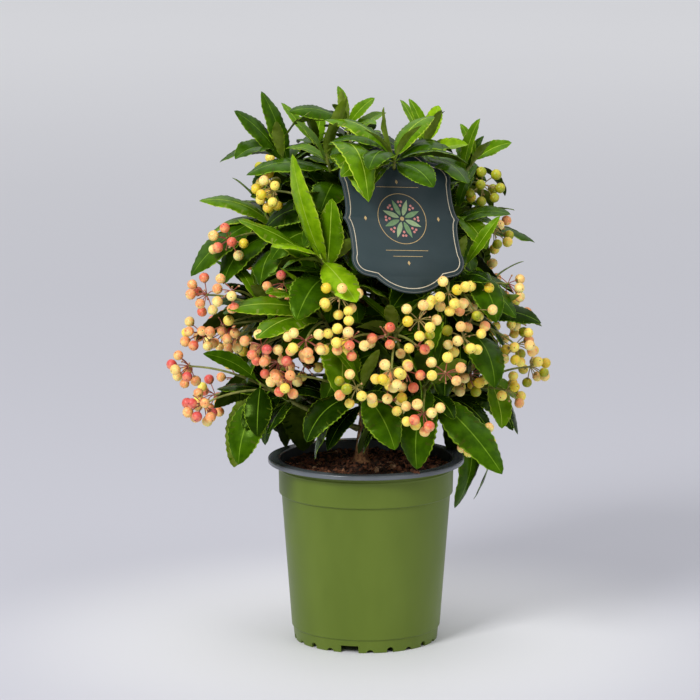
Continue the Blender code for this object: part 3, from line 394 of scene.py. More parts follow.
# %% Pot
def rounded(corners):
    """A profile whose marked corners are cut back twice, which leaves a small round."""
    outline = []
    for i, (x, y, cut) in enumerate(corners):
        here = Vector((x, y))
        if cut == 0:
            outline.append(here)
            continue
        before = Vector(corners[i - 1][:2])
        after = Vector(corners[(i + 1) % len(corners)][:2])
        start = here + (before - here).normalized() * cut
        end = here + (after - here).normalized() * cut
        outline.extend(start.lerp(here, s).lerp(here.lerp(end, s), s) for s in (0, 0.25, 0.5, 0.75, 1))
    return outline


def pot_profile():
    """The pot's section: up the inside from the floor, over the lip and down the outside."""
    floor_top = FLOOR_UNDERSIDE + FLOOR_SKIN
    under_lip = RIM_TOP - RIM_DROP
    slope = (COLLAR_TOP_RADIUS - COLLAR_FOOT_RADIUS) / (RIM_TOP - COLLAR_FOOT)
    line_radius = COLLAR_FOOT_RADIUS + slope * (MOULDED_LINE - COLLAR_FOOT)
    return rounded([
        (0, floor_top, 0), (BODY_FOOT_RADIUS - SKIN - 0.0012, floor_top, 0.0012),
        (BODY_TOP_RADIUS - SKIN, COLLAR_FOOT - 0.0015, 0.0006),
        (COLLAR_FOOT_RADIUS - SKIN, COLLAR_FOOT + 0.0010, 0.0006),
        (COLLAR_TOP_RADIUS - SKIN, RIM_TOP - 0.0004, 0.0005), (COLLAR_TOP_RADIUS, RIM_TOP, 0.0004),
        (RIM_RADIUS, RIM_TOP, 0.0011), (RIM_RADIUS, under_lip, 0.0005),
        (RIM_RADIUS - SKIN, under_lip, 0.0003), (RIM_RADIUS - SKIN, RIM_TOP - RIM_SKIN, 0.0003),
        (COLLAR_TOP_RADIUS, RIM_TOP - RIM_SKIN, 0.0003),
        (line_radius, MOULDED_LINE + 3 * LINE_HEIGHT, 0.0001),
        (line_radius + LINE_HEIGHT, MOULDED_LINE, 0.0002),
        (line_radius, MOULDED_LINE - 3 * LINE_HEIGHT, 0.0001),
        (COLLAR_FOOT_RADIUS, COLLAR_FOOT, 0.0006), (BODY_TOP_RADIUS, COLLAR_FOOT - 0.0006, 0.0004),
        (BODY_FOOT_RADIUS, FOOT_HEIGHT, 0.0006), (FOOT_STEP_RADIUS, FOOT_HEIGHT - 0.0005, 0.0003),
        (FOOT_RADIUS, 0, 0.0004), (FOOT_RADIUS - FOOT_WALL, 0, 0.0004),
        (FOOT_RADIUS - FOOT_WALL, FLOOR_UNDERSIDE, 0.0004), (PAD_RADIUS, FLOOR_UNDERSIDE, 0.0004),
        (PAD_RADIUS, 0, 0.0004), (0, 0, 0),
    ])


def turned_mesh(name, profile, steps):
    """A mesh turned round the axis from a profile whose two ends lie on it."""
    bm = bmesh.new()
    spots = [bm.verts.new((x, 0, z)) for x, z in profile]
    edges = [bm.edges.new(pair) for pair in zip(spots, spots[1:])]
    bmesh.ops.spin(bm, geom=spots + edges, axis=(0, 0, 1), cent=(0, 0, 0), angle=2 * math.pi,
                   steps=steps, use_merge=True)
    bmesh.ops.remove_doubles(bm, verts=bm.verts, dist=0.000005)
    bmesh.ops.recalc_face_normals(bm, faces=bm.faces)
    mesh = bpy.data.meshes.new(name)
    bm.to_mesh(mesh)
    bm.free()
    return mesh


NOTCH_PAIRS = 11
WIDE_NOTCH_TURN = 257.0
WIDE_NOTCH = (0.0118, 0.0048)
TALL_NOTCH = (0.0024, 0.0036)
LOW_NOTCH = (0.0027, 0.0022)
DRAIN_HOLES = 6
DRAIN_RADIUS = 0.0045
DRAIN_CIRCLE = 0.0290


def cutter(bm, turn, radius, height, size, round_one=True, standing=False):
    """Add a cutter's body to a mesh, turned to face outward at a place on a circle."""
    place = Matrix.Rotation(math.radians(turn), 4, "Z") @ Matrix.Translation((radius, 0, height))
    depth = 4 * FOOT_WALL
    if round_one:
        lie = Matrix.Identity(4) if standing else Matrix.Rotation(math.radians(90), 4, "Y")
        bmesh.ops.create_cone(bm, cap_ends=True, segments=32, radius1=size, radius2=size, depth=depth,
                              matrix=place @ lie)
    else:
        bmesh.ops.create_cube(bm, size=1.0, matrix=place @ Matrix.Diagonal((depth, size[0], 2 * size[1], 1)))


def build_pot():
    """The turned pot, cut by the notches round its foot and its drain holes."""
    pot = new_object("pot_shell", turned_mesh("pot_shell", pot_profile(), POT_STEPS))
    bm = bmesh.new()
    ring = FOOT_RADIUS - FOOT_WALL / 2
    pitch = 360 / NOTCH_PAIRS
    cutter(bm, WIDE_NOTCH_TURN, ring, 0, WIDE_NOTCH, round_one=False)
    for i in range(NOTCH_PAIRS):
        turn = WIDE_NOTCH_TURN + pitch * i
        cutter(bm, turn + pitch / 2, ring, LOW_NOTCH[1] - LOW_NOTCH[0], LOW_NOTCH[0])
        if i > 0:
            cutter(bm, turn, ring, TALL_NOTCH[1] - TALL_NOTCH[0], TALL_NOTCH[0])
    for i in range(DRAIN_HOLES):
        cutter(bm, 360 * i / DRAIN_HOLES, DRAIN_CIRCLE, FLOOR_UNDERSIDE + FLOOR_SKIN / 2, DRAIN_RADIUS,
               standing=True)
    tool_mesh = bpy.data.meshes.new("notch_cutters")
    bm.to_mesh(tool_mesh)
    bm.free()
    tool = new_object("notch_cutters", tool_mesh)
    cut = pot.modifiers.new("notches", "BOOLEAN")
    cut.operation = "DIFFERENCE"
    cut.object = tool
    cut.solver = "EXACT"
    cut_mesh = bpy.data.meshes.new_from_object(pot.evaluated_get(bpy.context.evaluated_depsgraph_get()))
    pot.modifiers.clear()
    pot.data = cut_mesh
    bpy.data.objects.remove(tool)
    cut_mesh.materials.clear()
    cut_mesh.materials.append(pot_finish())
    cut_mesh.materials.append(lip_finish())
    for face in cut_mesh.polygons:
        middle = face.center
        over_lip = middle.z > RIM_TOP - RIM_DROP - 0.0002
        outward = face.normal.x * middle.x + face.normal.y * middle.y
        above_floor = middle.z > FLOOR_UNDERSIDE + FLOOR_SKIN
        inside = outward < 0 and above_floor and math.hypot(*middle.xy) < RIM_RADIUS - 0.004
        face.material_index = 1 if over_lip or inside else 0
    cut_mesh.shade_smooth()
    cut_mesh.set_sharp_from_angle(angle=math.radians(35))
    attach(pot, "root")
    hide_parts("pot")
    print("pot faces", len(cut_mesh.polygons))


build_pot()


# %% [markdown]
# Potting soil is peat: dark crumbs, paler fibres and a few tan chips. A bump on a smooth disc would
# look like cloth at this distance, so the mound itself has relief, and real crumbs lie on it.

# %% Potting soil
SOIL_EDGE = 0.1155
SOIL_CROWN = 0.1185
SOIL_RADIUS = COLLAR_FOOT_RADIUS - SKIN - 0.0009
SOIL_RINGS = 46
SOIL_SPOKES = 150
CRUMBS = 760
FIBRES = 90
CHIPS = ((0.0070, -0.0250, 0.0026), (0.0170, -0.0160, 0.0028), (-0.0150, -0.0230, 0.0017),
         (-0.0340, -0.0150, 0.0015), (0.0300, 0.0250, 0.0018), (-0.0200, 0.0380, 0.0016))


def soil_height(x, y):
    """The height of the soil at a place: a low mound with lumps of two sizes."""
    away = min(1.0, math.hypot(x, y) / SOIL_RADIUS)
    lumps = 0.0016 * noise.noise(Vector((x, y, 0.0)) * 95) + 0.0011 * noise.noise(Vector((x, y, 0.3)) * 320)
    return SOIL_CROWN + (SOIL_EDGE - SOIL_CROWN) * away + lumps * min(1.0, 12 * away)


def soil_finish():
    """Dark damp peat, redder and paler where it has dried."""
    material, shader, place = finish("peat", rgb(46, 30, 22), 0.95)
    crumbs = cloud(place, 420.0, detail=6.0, roughness=0.7)
    feed(shader, "Base Color", crumbs.step(0.40, 0.68).paint(rgb(20, 12, 8), rgb(108, 68, 44)))
    bump(shader, crumbs, 1.0, 0.0012)
    return material


def build_soil():
    """The mound, closed below so that it fills the pot."""
    made = Gathered()
    rows = [[Vector((0, 0, SOIL_CROWN))] * SOIL_SPOKES]
    for i in range(1, SOIL_RINGS + 1):
        radius = SOIL_RADIUS * i / SOIL_RINGS
        turns = [360 * j / SOIL_SPOKES for j in range(SOIL_SPOKES)]
        spots = [heading(turn, 0) * radius for turn in turns]
        rows.append([Vector((spot.x, spot.y, soil_height(spot.x, spot.y))) for spot in spots])
    floor = FLOOR_UNDERSIDE + FLOOR_SKIN + 0.0003
    body = BODY_TOP_RADIUS - SKIN - 0.0009
    foot = BODY_FOOT_RADIUS - 0.0034
    for radius, height in ((SOIL_RADIUS, COLLAR_FOOT + 0.0020), (body, COLLAR_FOOT - 0.0015), (foot, floor)):
        rows.append([heading(360 * j / SOIL_SPOKES, 0) * radius + Vector((0, 0, height))
                     for j in range(SOIL_SPOKES)])
    points = [rows[0][0]] + [point for row in rows[1:] for point in row]
    faces = [(0, 1 + j, 1 + (j + 1) % SOIL_SPOKES) for j in range(SOIL_SPOKES)]
    faces += [tuple(i + 1 for i in face) for face in skin(rows[1:])]
    last = len(points)
    faces.append(tuple(range(last - SOIL_SPOKES, last))[::-1])
    made.add(points, faces)
    made.piece("soil_mound", [soil_finish()], "soil", ["potting_soil"], sharp=60)


def lump(middle, size, rng, stretch=1.0):
    """A small crumb: a twenty-sided ball with its points pushed in and out."""
    bm = bmesh.new()
    bmesh.ops.create_icosphere(bm, subdivisions=1, radius=size)
    spin = Matrix.Rotation(rng.uniform(0, 6.3), 3, Vector((rng.random(), rng.random(), rng.random() + 0.1)))
    points = []
    for vertex in bm.verts:
        point = vertex.co * rng.uniform(0.65, 1.3)
        points.append(middle + spin @ Vector((point.x * stretch, point.y, point.z * 0.8)))
    faces = [tuple(v.index for v in face.verts) for face in bm.faces]
    bm.free()
    return points, faces


def build_soil_bits():
    """Crumbs, fibres and chips on the mound, one kind a finish."""
    rng = random.Random("bits of potting soil")
    made = Gathered()
    for i in range(CRUMBS):
        away = SOIL_RADIUS * math.sqrt(rng.uniform(0.01, 0.93))
        spot = heading(rng.uniform(0, 360), 0) * away
        size = rng.uniform(0.0007, 0.0014) * (1.6 if i % 9 == 0 else 1.0)
        middle = Vector((spot.x, spot.y, soil_height(spot.x, spot.y) + size * 0.5))
        made.add(*lump(middle, size, rng, rng.uniform(1.0, 1.6)), slot=0 if i % 5 else 1)
    for i in range(FIBRES):
        away = SOIL_RADIUS * math.sqrt(rng.uniform(0.02, 0.9))
        spot = heading(rng.uniform(0, 360), 0) * away
        along = heading(rng.uniform(0, 360), rng.uniform(-4, 16))
        length = rng.uniform(0.003, 0.009)
        side = along.cross(Vector((0, 0, 1))) * rng.uniform(-0.002, 0.002)
        start = Vector((spot.x, spot.y, soil_height(spot.x, spot.y) + 0.0006))
        line = [start, start + along * length / 2 + side + Vector((0, 0, 0.0006)), start + along * length]
        line = [point for point in line if math.hypot(*point.xy) < SOIL_RADIUS - 0.001]
        if len(line) > 1:
            made.add(*tube(line, [0.00016] * len(line), 4), slot=1 if i % 3 else 2)
    for x, y, size in CHIPS:
        middle = Vector((x, y, soil_height(x, y) + size * 0.5))
        made.add(*lump(middle, size, rng, 1.3), slot=2)
    over_lip = Vector((0.0305, -0.0530, RIM_TOP + 0.0008))
    for i in range(3):
        made.add(*lump(over_lip + Vector((0.0016 * i, -0.0016 * i, 0)), 0.0013, rng, 1.4), slot=0)
    made.piece("soil_bits", [
        speckled("peat_crumb", rgb(38, 22, 14), rgb(126, 76, 48), 260, 0.95, 0.0002),
        speckled("dry_fibre", rgb(112, 68, 44), rgb(164, 108, 74), 500, 0.9, 0.0001),
        speckled("tan_chip", rgb(176, 122, 84), rgb(224, 186, 148), 500, 0.85, 0.0002),
    ], "soil", sharp=25)


build_soil()
build_soil_bits()


# %% [markdown]
# The plant grows by rule. Each shoot leaves the trunk on one curve and ends in a rosette, whose leaves
# follow a spiral of golden turns, as real leaves do, so that no leaf shades the one below it. Drawing
# each leaf by hand would take hundreds of places, and scattering them at random would let them pass
# through each other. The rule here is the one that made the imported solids, so that each blade covers
# its own solid, and it is then carried on to finer leaves and bunches.

# %% Sizes of the shoots
GAP = 0.0003
GOLDEN_TURN = 137.508
GOLDEN_SHARE = 0.618034
GUARD_SIDES = 16
TRUNK_FOOT = SOIL_CROWN + GAP
TRUNK_TIP = 0.3000
TRUNK_RADIUS = 0.0043
TRUNK_TIP_RADIUS = 0.0016
FLARE = 0.0022
FLARE_HEIGHT = 0.0060
TRUNK_OFFSET = -0.0030
TRUNK_SWAY = 0.0040
TRUNK_STEPS = 7
BOUGH_RADIUS = 0.0019
STEM_RADIUS = 0.0014
STEM_TIP_RADIUS = 0.0009
RISE_SHARE = 0.72
REACH_SHARE = 0.25
BOUGH_REACH = 0.0700
BOUGH_SHARE = 0.50
CREST_REACH = 0.0300
HEIGHT_STEP = 0.0040
HEIGHT_TRIES = 14
NEAR_TRUNK = 0.15
SEAT_STEPS = 4

Shoot = namedtuple("Shoot", "name turn reach height leaves blade droop umbels spin")

# One row a mass of leaves: where its shoot ends, how many leaves of what length it has, how far they
# hang, how many umbels of berries it carries, and where its spiral of leaves starts.
SHOOTS = (
    Shoot("leaves_top_front_right", 284.6, 0.0713, 0.3280, 9, 0.056, 55, 0, 0.30),
    Shoot("leaves_top_front_left", 240, 0.052, 0.331, 12, 0.060, 60, 0, 0.10),
    Shoot("leaves_crest", 133, 0.020, 0.343, 13, 0.048, 55, 0, 0.00),
    Shoot("leaves_top_left", 185, 0.058, 0.327, 13, 0.058, 60, 0, 0.55),
    Shoot("leaves_top_right", 338, 0.042, 0.331, 12, 0.058, 60, 0, 0.20),
    Shoot("leaves_top_far_right", 12, 0.073, 0.318, 11, 0.052, 60, 1, 0.70),
    Shoot("leaves_top_back_right", 50, 0.058, 0.324, 13, 0.060, 60, 1, 0.35),
    Shoot("leaves_top_back_left", 125, 0.060, 0.324, 13, 0.060, 60, 1, 0.15),
    Shoot("leaves_upper_front_left", 250, 0.084, 0.266, 10, 0.062, 60, 1, 0.45),
    Shoot("leaves_upper_front_high", 246, 0.062, 0.306, 9, 0.056, 60, 1, 0.80),
    Shoot("leaves_upper_left", 183, 0.066, 0.284, 12, 0.064, 65, 1, 0.25),
    Shoot("leaves_upper_right", 333, 0.066, 0.288, 11, 0.062, 65, 0, 0.60),
    Shoot("leaves_upper_far_right", 322, 0.080, 0.256, 10, 0.064, 65, 1, 0.05),
    Shoot("leaves_upper_back_right", 25, 0.076, 0.276, 12, 0.064, 65, 1, 0.50),
    Shoot("leaves_upper_back", 77, 0.078, 0.280, 12, 0.064, 65, 2, 0.90),
    Shoot("leaves_upper_back_left", 130, 0.078, 0.276, 12, 0.064, 65, 2, 0.40),
    Shoot("leaves_middle_front_left", 248, 0.078, 0.230, 10, 0.068, 65, 2, 0.75),
    Shoot("leaves_middle_left", 203, 0.080, 0.232, 10, 0.064, 65, 3, 0.35),
    Shoot("leaves_middle_front", 285, 0.080, 0.222, 10, 0.062, 65, 3, 0.10),
    Shoot("leaves_middle_right", 335, 0.082, 0.224, 11, 0.066, 65, 2, 0.65),
    Shoot("leaves_middle_back_right", 20, 0.080, 0.226, 11, 0.066, 65, 2, 0.20),
    Shoot("leaves_middle_back", 68, 0.080, 0.226, 11, 0.066, 65, 2, 0.55),
    Shoot("leaves_middle_back_left", 115, 0.080, 0.226, 11, 0.066, 65, 2, 0.85),
    Shoot("leaves_middle_far_left", 160, 0.080, 0.226, 11, 0.066, 65, 2, 0.00),
    Shoot("leaves_low_left", 215, 0.084, 0.180, 9, 0.068, 60, 2, 0.50),
    Shoot("leaves_low_front", 268, 0.084, 0.184, 9, 0.062, 60, 3, 0.30),
    Shoot("leaves_low_right", 302, 0.080, 0.184, 9, 0.072, 55, 3, 0.95),
    Shoot("leaves_low_far_right", 352, 0.082, 0.178, 9, 0.068, 60, 2, 0.15),
    Shoot("leaves_low_back_right", 42, 0.080, 0.172, 10, 0.068, 60, 2, 0.60),
    Shoot("leaves_low_back", 95, 0.080, 0.176, 10, 0.068, 60, 2, 0.40),
    Shoot("leaves_low_back_left", 150, 0.080, 0.176, 10, 0.068, 60, 2, 0.70),
)

# Leaves that make the outline or the face of the plant, by the place of their tip and their bend. One
# with a negative bend curls back and shows its upper face.
POSED_TIPS = {
    "leaves_top_front_right": ((0.010, -0.062, 0.361, -8), (0.042, -0.098, 0.318, 25),
                               (-0.016, -0.095, 0.323, 40), (0.043, -0.040, 0.357, 45),
                               (-0.027, -0.048, 0.355, 60)),
    "leaves_top_front_left": ((-0.078, -0.052, 0.320, 50), (-0.044, -0.050, 0.351, 15),
                              (0.002, -0.099, 0.307, 85), (0.009, -0.104, 0.300, 95)),
    "leaves_crest": ((-0.017, 0.015, 0.364, -5), (0.005, 0.020, 0.360, 30), (-0.050, 0.000, 0.354, 40)),
    "leaves_top_left": ((-0.065, 0.000, 0.366, 8), (-0.074, -0.014, 0.362, 10), (-0.098, 0.000, 0.322, 60),
                        (-0.085, -0.025, 0.324, 55)),
    "leaves_top_right": ((0.066, -0.015, 0.333, 35), (0.066, -0.060, 0.315, 30), (0.047, 0.000, 0.357, 20)),
    "leaves_top_far_right": ((0.073, 0.015, 0.346, 8), (0.095, 0.015, 0.331, 15)),
    "leaves_upper_front_left": ((-0.052, -0.098, 0.331, -6), (-0.023, -0.092, 0.305, -8),
                                (-0.080, -0.090, 0.294, 15), (-0.059, -0.112, 0.280, 45),
                                (-0.006, -0.112, 0.244, 30)),
    "leaves_upper_left": ((-0.109, -0.010, 0.297, 55), (-0.106, 0.005, 0.270, 70),
                          (-0.117, -0.025, 0.250, 30)),
    "leaves_upper_right": ((0.093, -0.040, 0.292, 50), (0.061, -0.056, 0.297, 45),
                           (0.091, -0.008, 0.276, 60), (0.078, -0.050, 0.269, 45)),
    "leaves_upper_far_right": ((0.078, -0.075, 0.254, 35), (0.098, -0.055, 0.225, 50),
                               (0.085, -0.072, 0.225, 45)),
    "leaves_middle_front_left": ((-0.062, -0.110, 0.251, 40), (-0.069, -0.114, 0.224, 35),
                                 (-0.088, -0.085, 0.239, 30)),
    "leaves_low_left": ((-0.083, -0.066, 0.130, 45), (-0.068, -0.064, 0.147, 50)),
    "leaves_low_front": ((0.019, -0.108, 0.149, 50), (-0.039, -0.074, 0.137, 40)),
    "leaves_low_right": ((0.087, -0.104, 0.133, 20), (0.031, -0.092, 0.132, 40)),
    "leaves_low_far_right": ((0.103, -0.005, 0.161, 40), (0.091, -0.025, 0.146, 35)),
    "leaves_low_back_right": ((0.066, 0.040, 0.075, 55), (0.084, 0.052, 0.079, 60)),
    "leaves_low_back_left": ((-0.086, -0.010, 0.114, -12),),
}

# Bunches of berries that show at the front, by the place where their stalk ends.
POSED_BUNCHES = {
    "leaves_upper_left": ((-0.089, -0.030, 0.271),),
    "leaves_upper_front_high": ((-0.059, -0.050, 0.306),),
    "leaves_upper_front_left": ((-0.017, -0.104, 0.254),),
    "leaves_middle_left": ((-0.107, -0.030, 0.209), (-0.103, -0.042, 0.237), (-0.080, -0.078, 0.239)),
    "leaves_middle_front_left": ((-0.066, -0.097, 0.213), (-0.038, -0.112, 0.219)),
    "leaves_middle_front": ((-0.009, -0.116, 0.221), (0.033, -0.106, 0.231), (0.016, -0.120, 0.202)),
    "leaves_middle_right": ((0.062, -0.083, 0.216), (0.097, -0.040, 0.204)),
    "leaves_upper_far_right": ((0.052, -0.090, 0.246),),
    "leaves_low_left": ((-0.115, -0.035, 0.189), (-0.105, -0.052, 0.167)),
    "leaves_low_front": ((-0.049, -0.100, 0.194), (-0.006, -0.119, 0.190)),
    "leaves_low_right": ((0.050, -0.112, 0.198), (0.036, -0.114, 0.173)),
    "leaves_low_far_right": ((0.092, -0.024, 0.171), (0.108, -0.008, 0.184)),
    "leaves_middle_back_right": ((0.089, 0.045, 0.193),),
    "leaves_upper_back_right": ((0.084, 0.012, 0.271),),
    "leaves_top_far_right": ((0.076, -0.006, 0.304),),
}
print("shoots", len(SHOOTS))


# %% Curves of the limbs
def bezier(start, control, end, share):
    """The point at a share of the way along a curve with one control point."""
    return start.lerp(control, share).lerp(control.lerp(end, share), share)


def bent_path(base, turn, rise, length, bend, shares):
    """Points along a leaf or twig that leaves its base at one rise and bends down evenly."""
    control = base + heading(turn, rise) * length / 2
    end = control + heading(turn, rise - bend) * length / 2
    return [bezier(base, control, end, share) for share in shares]


def trunk_point(height):
    """The middle of the trunk at a height: it stands upright at its foot and sways a little above."""
    climb = max(0.0, height - TRUNK_FOOT - FLARE_HEIGHT) / (TRUNK_TIP - TRUNK_FOOT)
    sway = TRUNK_SWAY * math.sin(math.pi * 1.6 * climb)
    return Vector((TRUNK_OFFSET + sway, sway / 2, height))


def trunk_radius(height):
    """The trunk's radius at a height: an even taper above a flared foot."""
    climb = (height - TRUNK_FOOT) / (TRUNK_TIP - TRUNK_FOOT)
    flare = FLARE * max(0.0, 1 - (height - TRUNK_FOOT) / FLARE_HEIGHT) ** 2
    return TRUNK_RADIUS + (TRUNK_TIP_RADIUS - TRUNK_RADIUS) * climb + flare


def shoot_hub(shoot):
    """The end of a shoot's stem, in the middle of its rosette of leaves."""
    return heading(shoot.turn, 0) * shoot.reach + Vector((0, 0, shoot.height))


def has_bough(shoot):
    """Whether a shoot is far enough out to hang on a bough of its own."""
    return shoot.reach >= BOUGH_REACH


# %% [markdown]
# The label plate hangs in the crown on one shoot, which passes through its eye. Its outline has a
# round lobe below and above, four round shoulders and a cusp at each side. Leaves keep clear of it.

# %% Outline of the label plate
LABEL_MIDDLE = Vector((0.0226, -0.0750, 0.2911))
LABEL_TURN = 298.7
LABEL_LEAN = 27.6
LABEL_ROLL = -5.0
LABEL_HALF_WIDTH = 0.0418
LABEL_WAIST = 0.0371
LABEL_HALF_HEIGHT = 0.0504
LABEL_THICKNESS = 0.0010
LOBE_RADIUS = 0.0343
LOBE_HALF_ANGLE = 45.8
LOBE_STEPS = 3
BULGE_RADIUS = 0.0108
BULGE_RIGHT = 0.0290
BULGE_DOWN = 0.0280
BULGE_START = -80.0
BULGE_ANGLE = 104.0
BULGE_STEPS = 4
WAIST_FOOT = 0.0095
WAIST_TOP = 0.0045
LABEL_EYE_UP = 0.0347
LABEL_EYE_RADIUS = 0.0017
LABEL_EYE_STEPS = 8
LABEL_SHOOT = "leaves_top_front_right"
EYE_SHARE = 0.86
PAST_EYE = 0.93


def label_axes():
    """The label plate's directions: to its right, up along it, and out of its face."""
    front = heading(LABEL_TURN, LABEL_LEAN)
    level = heading(LABEL_TURN + 90, 0)
    roll = Matrix.Rotation(math.radians(LABEL_ROLL), 3, front)
    return roll @ level, roll @ front.cross(level), front


def label_outline():
    """The right half of the plate's edge from its lowest to its highest point."""
    lower = []
    for i in range(LOBE_STEPS + 1):
        turn = math.radians(-90 + LOBE_HALF_ANGLE * i / LOBE_STEPS)
        lower.append((LOBE_RADIUS * math.cos(turn),
                      LOBE_RADIUS - LABEL_HALF_HEIGHT + LOBE_RADIUS * math.sin(turn)))
    for i in range(BULGE_STEPS + 1):
        turn = math.radians(BULGE_START + BULGE_ANGLE * i / BULGE_STEPS)
        lower.append((BULGE_RIGHT + BULGE_RADIUS * math.cos(turn),
                      -BULGE_DOWN + BULGE_RADIUS * math.sin(turn)))
    lower.extend([(LABEL_WAIST, -WAIST_FOOT), (LABEL_WAIST, -WAIST_TOP), (LABEL_HALF_WIDTH, 0)])
    return lower + [(x, -y) for x, y in reversed(lower[:-1])]


# %% [markdown]
# Before a leaf is kept, a plain closed body round it is tested against everything that grew before.
# Search trees make that quick. Testing the finished blades would be far slower and gain nothing.

# %% Bodies that keep the pieces apart
CLEARANCE = 0.0005


def loft(rings):
    """Points and faces of a closed body through rings of points, where a ring of one is a tip."""
    faces = []
    first = 0
    for low, high in zip(rings, rings[1:]):
        count = len(low)
        for i in range(count):
            j = (i + 1) % count
            if len(high) == 1:
                faces.append((first + i, first + j, first + count))
            else:
                faces.append((first + i, first + j, first + count + j))
                faces.append((first + i, first + count + j, first + count + i))
        first += count
    faces.append(tuple(range(len(rings[0])))[::-1])
    if len(rings[-1]) > 1:
        faces.append(tuple(range(first, first + len(rings[-1]))))
    return [point for ring in rings for point in ring], faces


def tree_of(*bodies):
    """A search tree of the faces of some bodies."""
    joined = Gathered()
    for points, faces in bodies:
        joined.add(points, faces)
    return BVHTree.FromPolygons(joined.points, joined.faces)


def twig_body(points, radii, sides=3):
    """A thin tapering twig through points."""
    return loft(rings_along(points, radii, sides))


def circle(radius, height):
    """A ring of points round the axis of the pot, whose sides lie outside a radius."""
    outer = radius / math.cos(math.pi / GUARD_SIDES)
    turns = [360 * i / GUARD_SIDES for i in range(GUARD_SIDES)]
    return [heading(turn, 0) * outer + Vector((0, 0, height)) for turn in turns]


def pot_guard():
    """The outside of the pot, closed over the soil."""
    return loft([circle(BODY_FOOT_RADIUS, 0), circle(COLLAR_TOP_RADIUS, COLLAR_FOOT),
                 circle(COLLAR_TOP_RADIUS, RIM_TOP - RIM_DROP), circle(RIM_RADIUS, RIM_TOP - RIM_DROP),
                 circle(RIM_RADIUS, RIM_TOP)])


def trunk_heights():
    """Heights at which the trunk has a ring: two close over its foot, then even ones."""
    first = TRUNK_FOOT + FLARE_HEIGHT
    rise = (TRUNK_TIP - first) / TRUNK_STEPS
    return [TRUNK_FOOT, TRUNK_FOOT + FLARE_HEIGHT / 3] + [first + rise * i for i in range(TRUNK_STEPS + 1)]


def trunk_guard():
    """The trunk, with sides that lie outside its round."""
    heights = trunk_heights()
    outer = [trunk_radius(height) / math.cos(math.pi / GUARD_SIDES) for height in heights]
    return twig_body([trunk_point(height) for height in heights], outer, GUARD_SIDES)


def label_guard():
    """The label plate without its eye."""
    across, upward, front = label_axes()
    right = label_outline()
    edge = right + [(-x, y) for x, y in reversed(right[1:-1])]
    face = [LABEL_MIDDLE + across * x + upward * y for x, y in edge]
    half = front * LABEL_THICKNESS / 2
    return loft([[point - half for point in face], [point + half for point in face]])


def is_clear(tree, others):
    """Whether a body touches none of the others."""
    return not any(tree.overlap(other) for other in others)


# %% Paths of the limbs
def limb_path(shoot, higher):
    """Start, control point and end of the limb that carries a shoot, from the trunk to its hub."""
    hub = shoot_hub(shoot)
    if shoot.reach < CREST_REACH:
        start = trunk_point(TRUNK_TIP) + Vector((0, 0, GAP))
        return start, start + Vector((0, 0, (hub.z - start.z) / 2)), hub
    height = TRUNK_FOOT + RISE_SHARE * (shoot.height - TRUNK_FOOT) - REACH_SHARE * shoot.reach + higher
    axis = trunk_point(height)
    level = Vector((hub.x - axis.x, hub.y - axis.y, 0))
    start = axis + level.normalized() * (trunk_radius(height) + BOUGH_RADIUS + GAP)
    control = start + level / 2 + Vector((0, 0, 0.4 * (hub.z - height)))
    if shoot.name == LABEL_SHOOT:
        eye = LABEL_MIDDLE + label_axes()[1] * LABEL_EYE_UP
        near = (1 - EYE_SHARE) ** 2
        far = EYE_SHARE ** 2
        control = (eye - start * near - hub * far) / (1 - near - far)
    return start, control, hub


def seated(path, radius, trunk_tree):
    """A limb's path with its start slid along the level until its root is the gap from the trunk."""
    start, control, end = path
    level = Vector((control.x - start.x, control.y - start.y, 0)).normalized()
    for _ in range(SEAT_STEPS):
        along = (bezier(start, control, end, 0.1) - start).normalized()
        root = ring_around(start, along, radius, 12)
        nearest = min(trunk_tree.find_nearest(point)[3] for point in root)
        start = start - level * (nearest - GAP)
    return start, control, end


def clear_paths(trunk_tree, label_tree):
    """A limb's path for each shoot, moved up or down the trunk until it clears the limbs before it."""
    paths = {}
    limbs = []
    for shoot in SHOOTS:
        for i in range(HEIGHT_TRIES):
            higher = HEIGHT_STEP * ((i + 1) // 2) * (-1) ** i
            path = limb_path(shoot, higher)
            points = [bezier(*path, j / 10) for j in range(11)]
            limb = tree_of(twig_body(points, [BOUGH_RADIUS + CLEARANCE] * 11, sides=5))
            past = [bezier(*path, NEAR_TRUNK + (1 - NEAR_TRUNK) * j / 10) for j in range(11)]
            outer = tree_of(twig_body(past, [STEM_RADIUS + CLEARANCE] * 11, sides=5))
            blocks = [trunk_tree] if shoot.name == LABEL_SHOOT else [trunk_tree, label_tree]
            if is_clear(limb, limbs) and is_clear(outer, blocks):
                break
        if shoot.reach >= CREST_REACH:
            path = seated(path, BOUGH_RADIUS if has_bough(shoot) else STEM_RADIUS, trunk_tree)
        paths[shoot.name] = path
        limbs.append(limb)
    return paths


def tapered(path, first, last, first_radius, last_radius, steps):
    """Points and radii of an evenly tapering stretch of a limb, from one share of it to another."""
    points = [bezier(*path, first + (last - first) * i / steps) for i in range(steps + 1)]
    radii = [first_radius + (last_radius - first_radius) * i / steps for i in range(steps + 1)]
    return points, radii


def bough_line(path):
    """The inner part of the limb that carries a far shoot."""
    return tapered(path, 0.0, BOUGH_SHARE, BOUGH_RADIUS, STEM_RADIUS, 3)


def stem_body(shoot, path):
    """The stem of a mass, from its bough's tip or the trunk to its hub."""
    start = 0.0
    if has_bough(shoot):
        start = BOUGH_SHARE + GAP / (path[2] - path[0]).length
    return twig_body(*tapered(path, start, 1.0, STEM_RADIUS, STEM_TIP_RADIUS, 4))


# %% [markdown]
# A leaf is named by where its stalk starts, the way it leaves, how far it bends and how wide it is.
# Leaves that make the outline are aimed at a place of their own, and the spiral fills in the others.

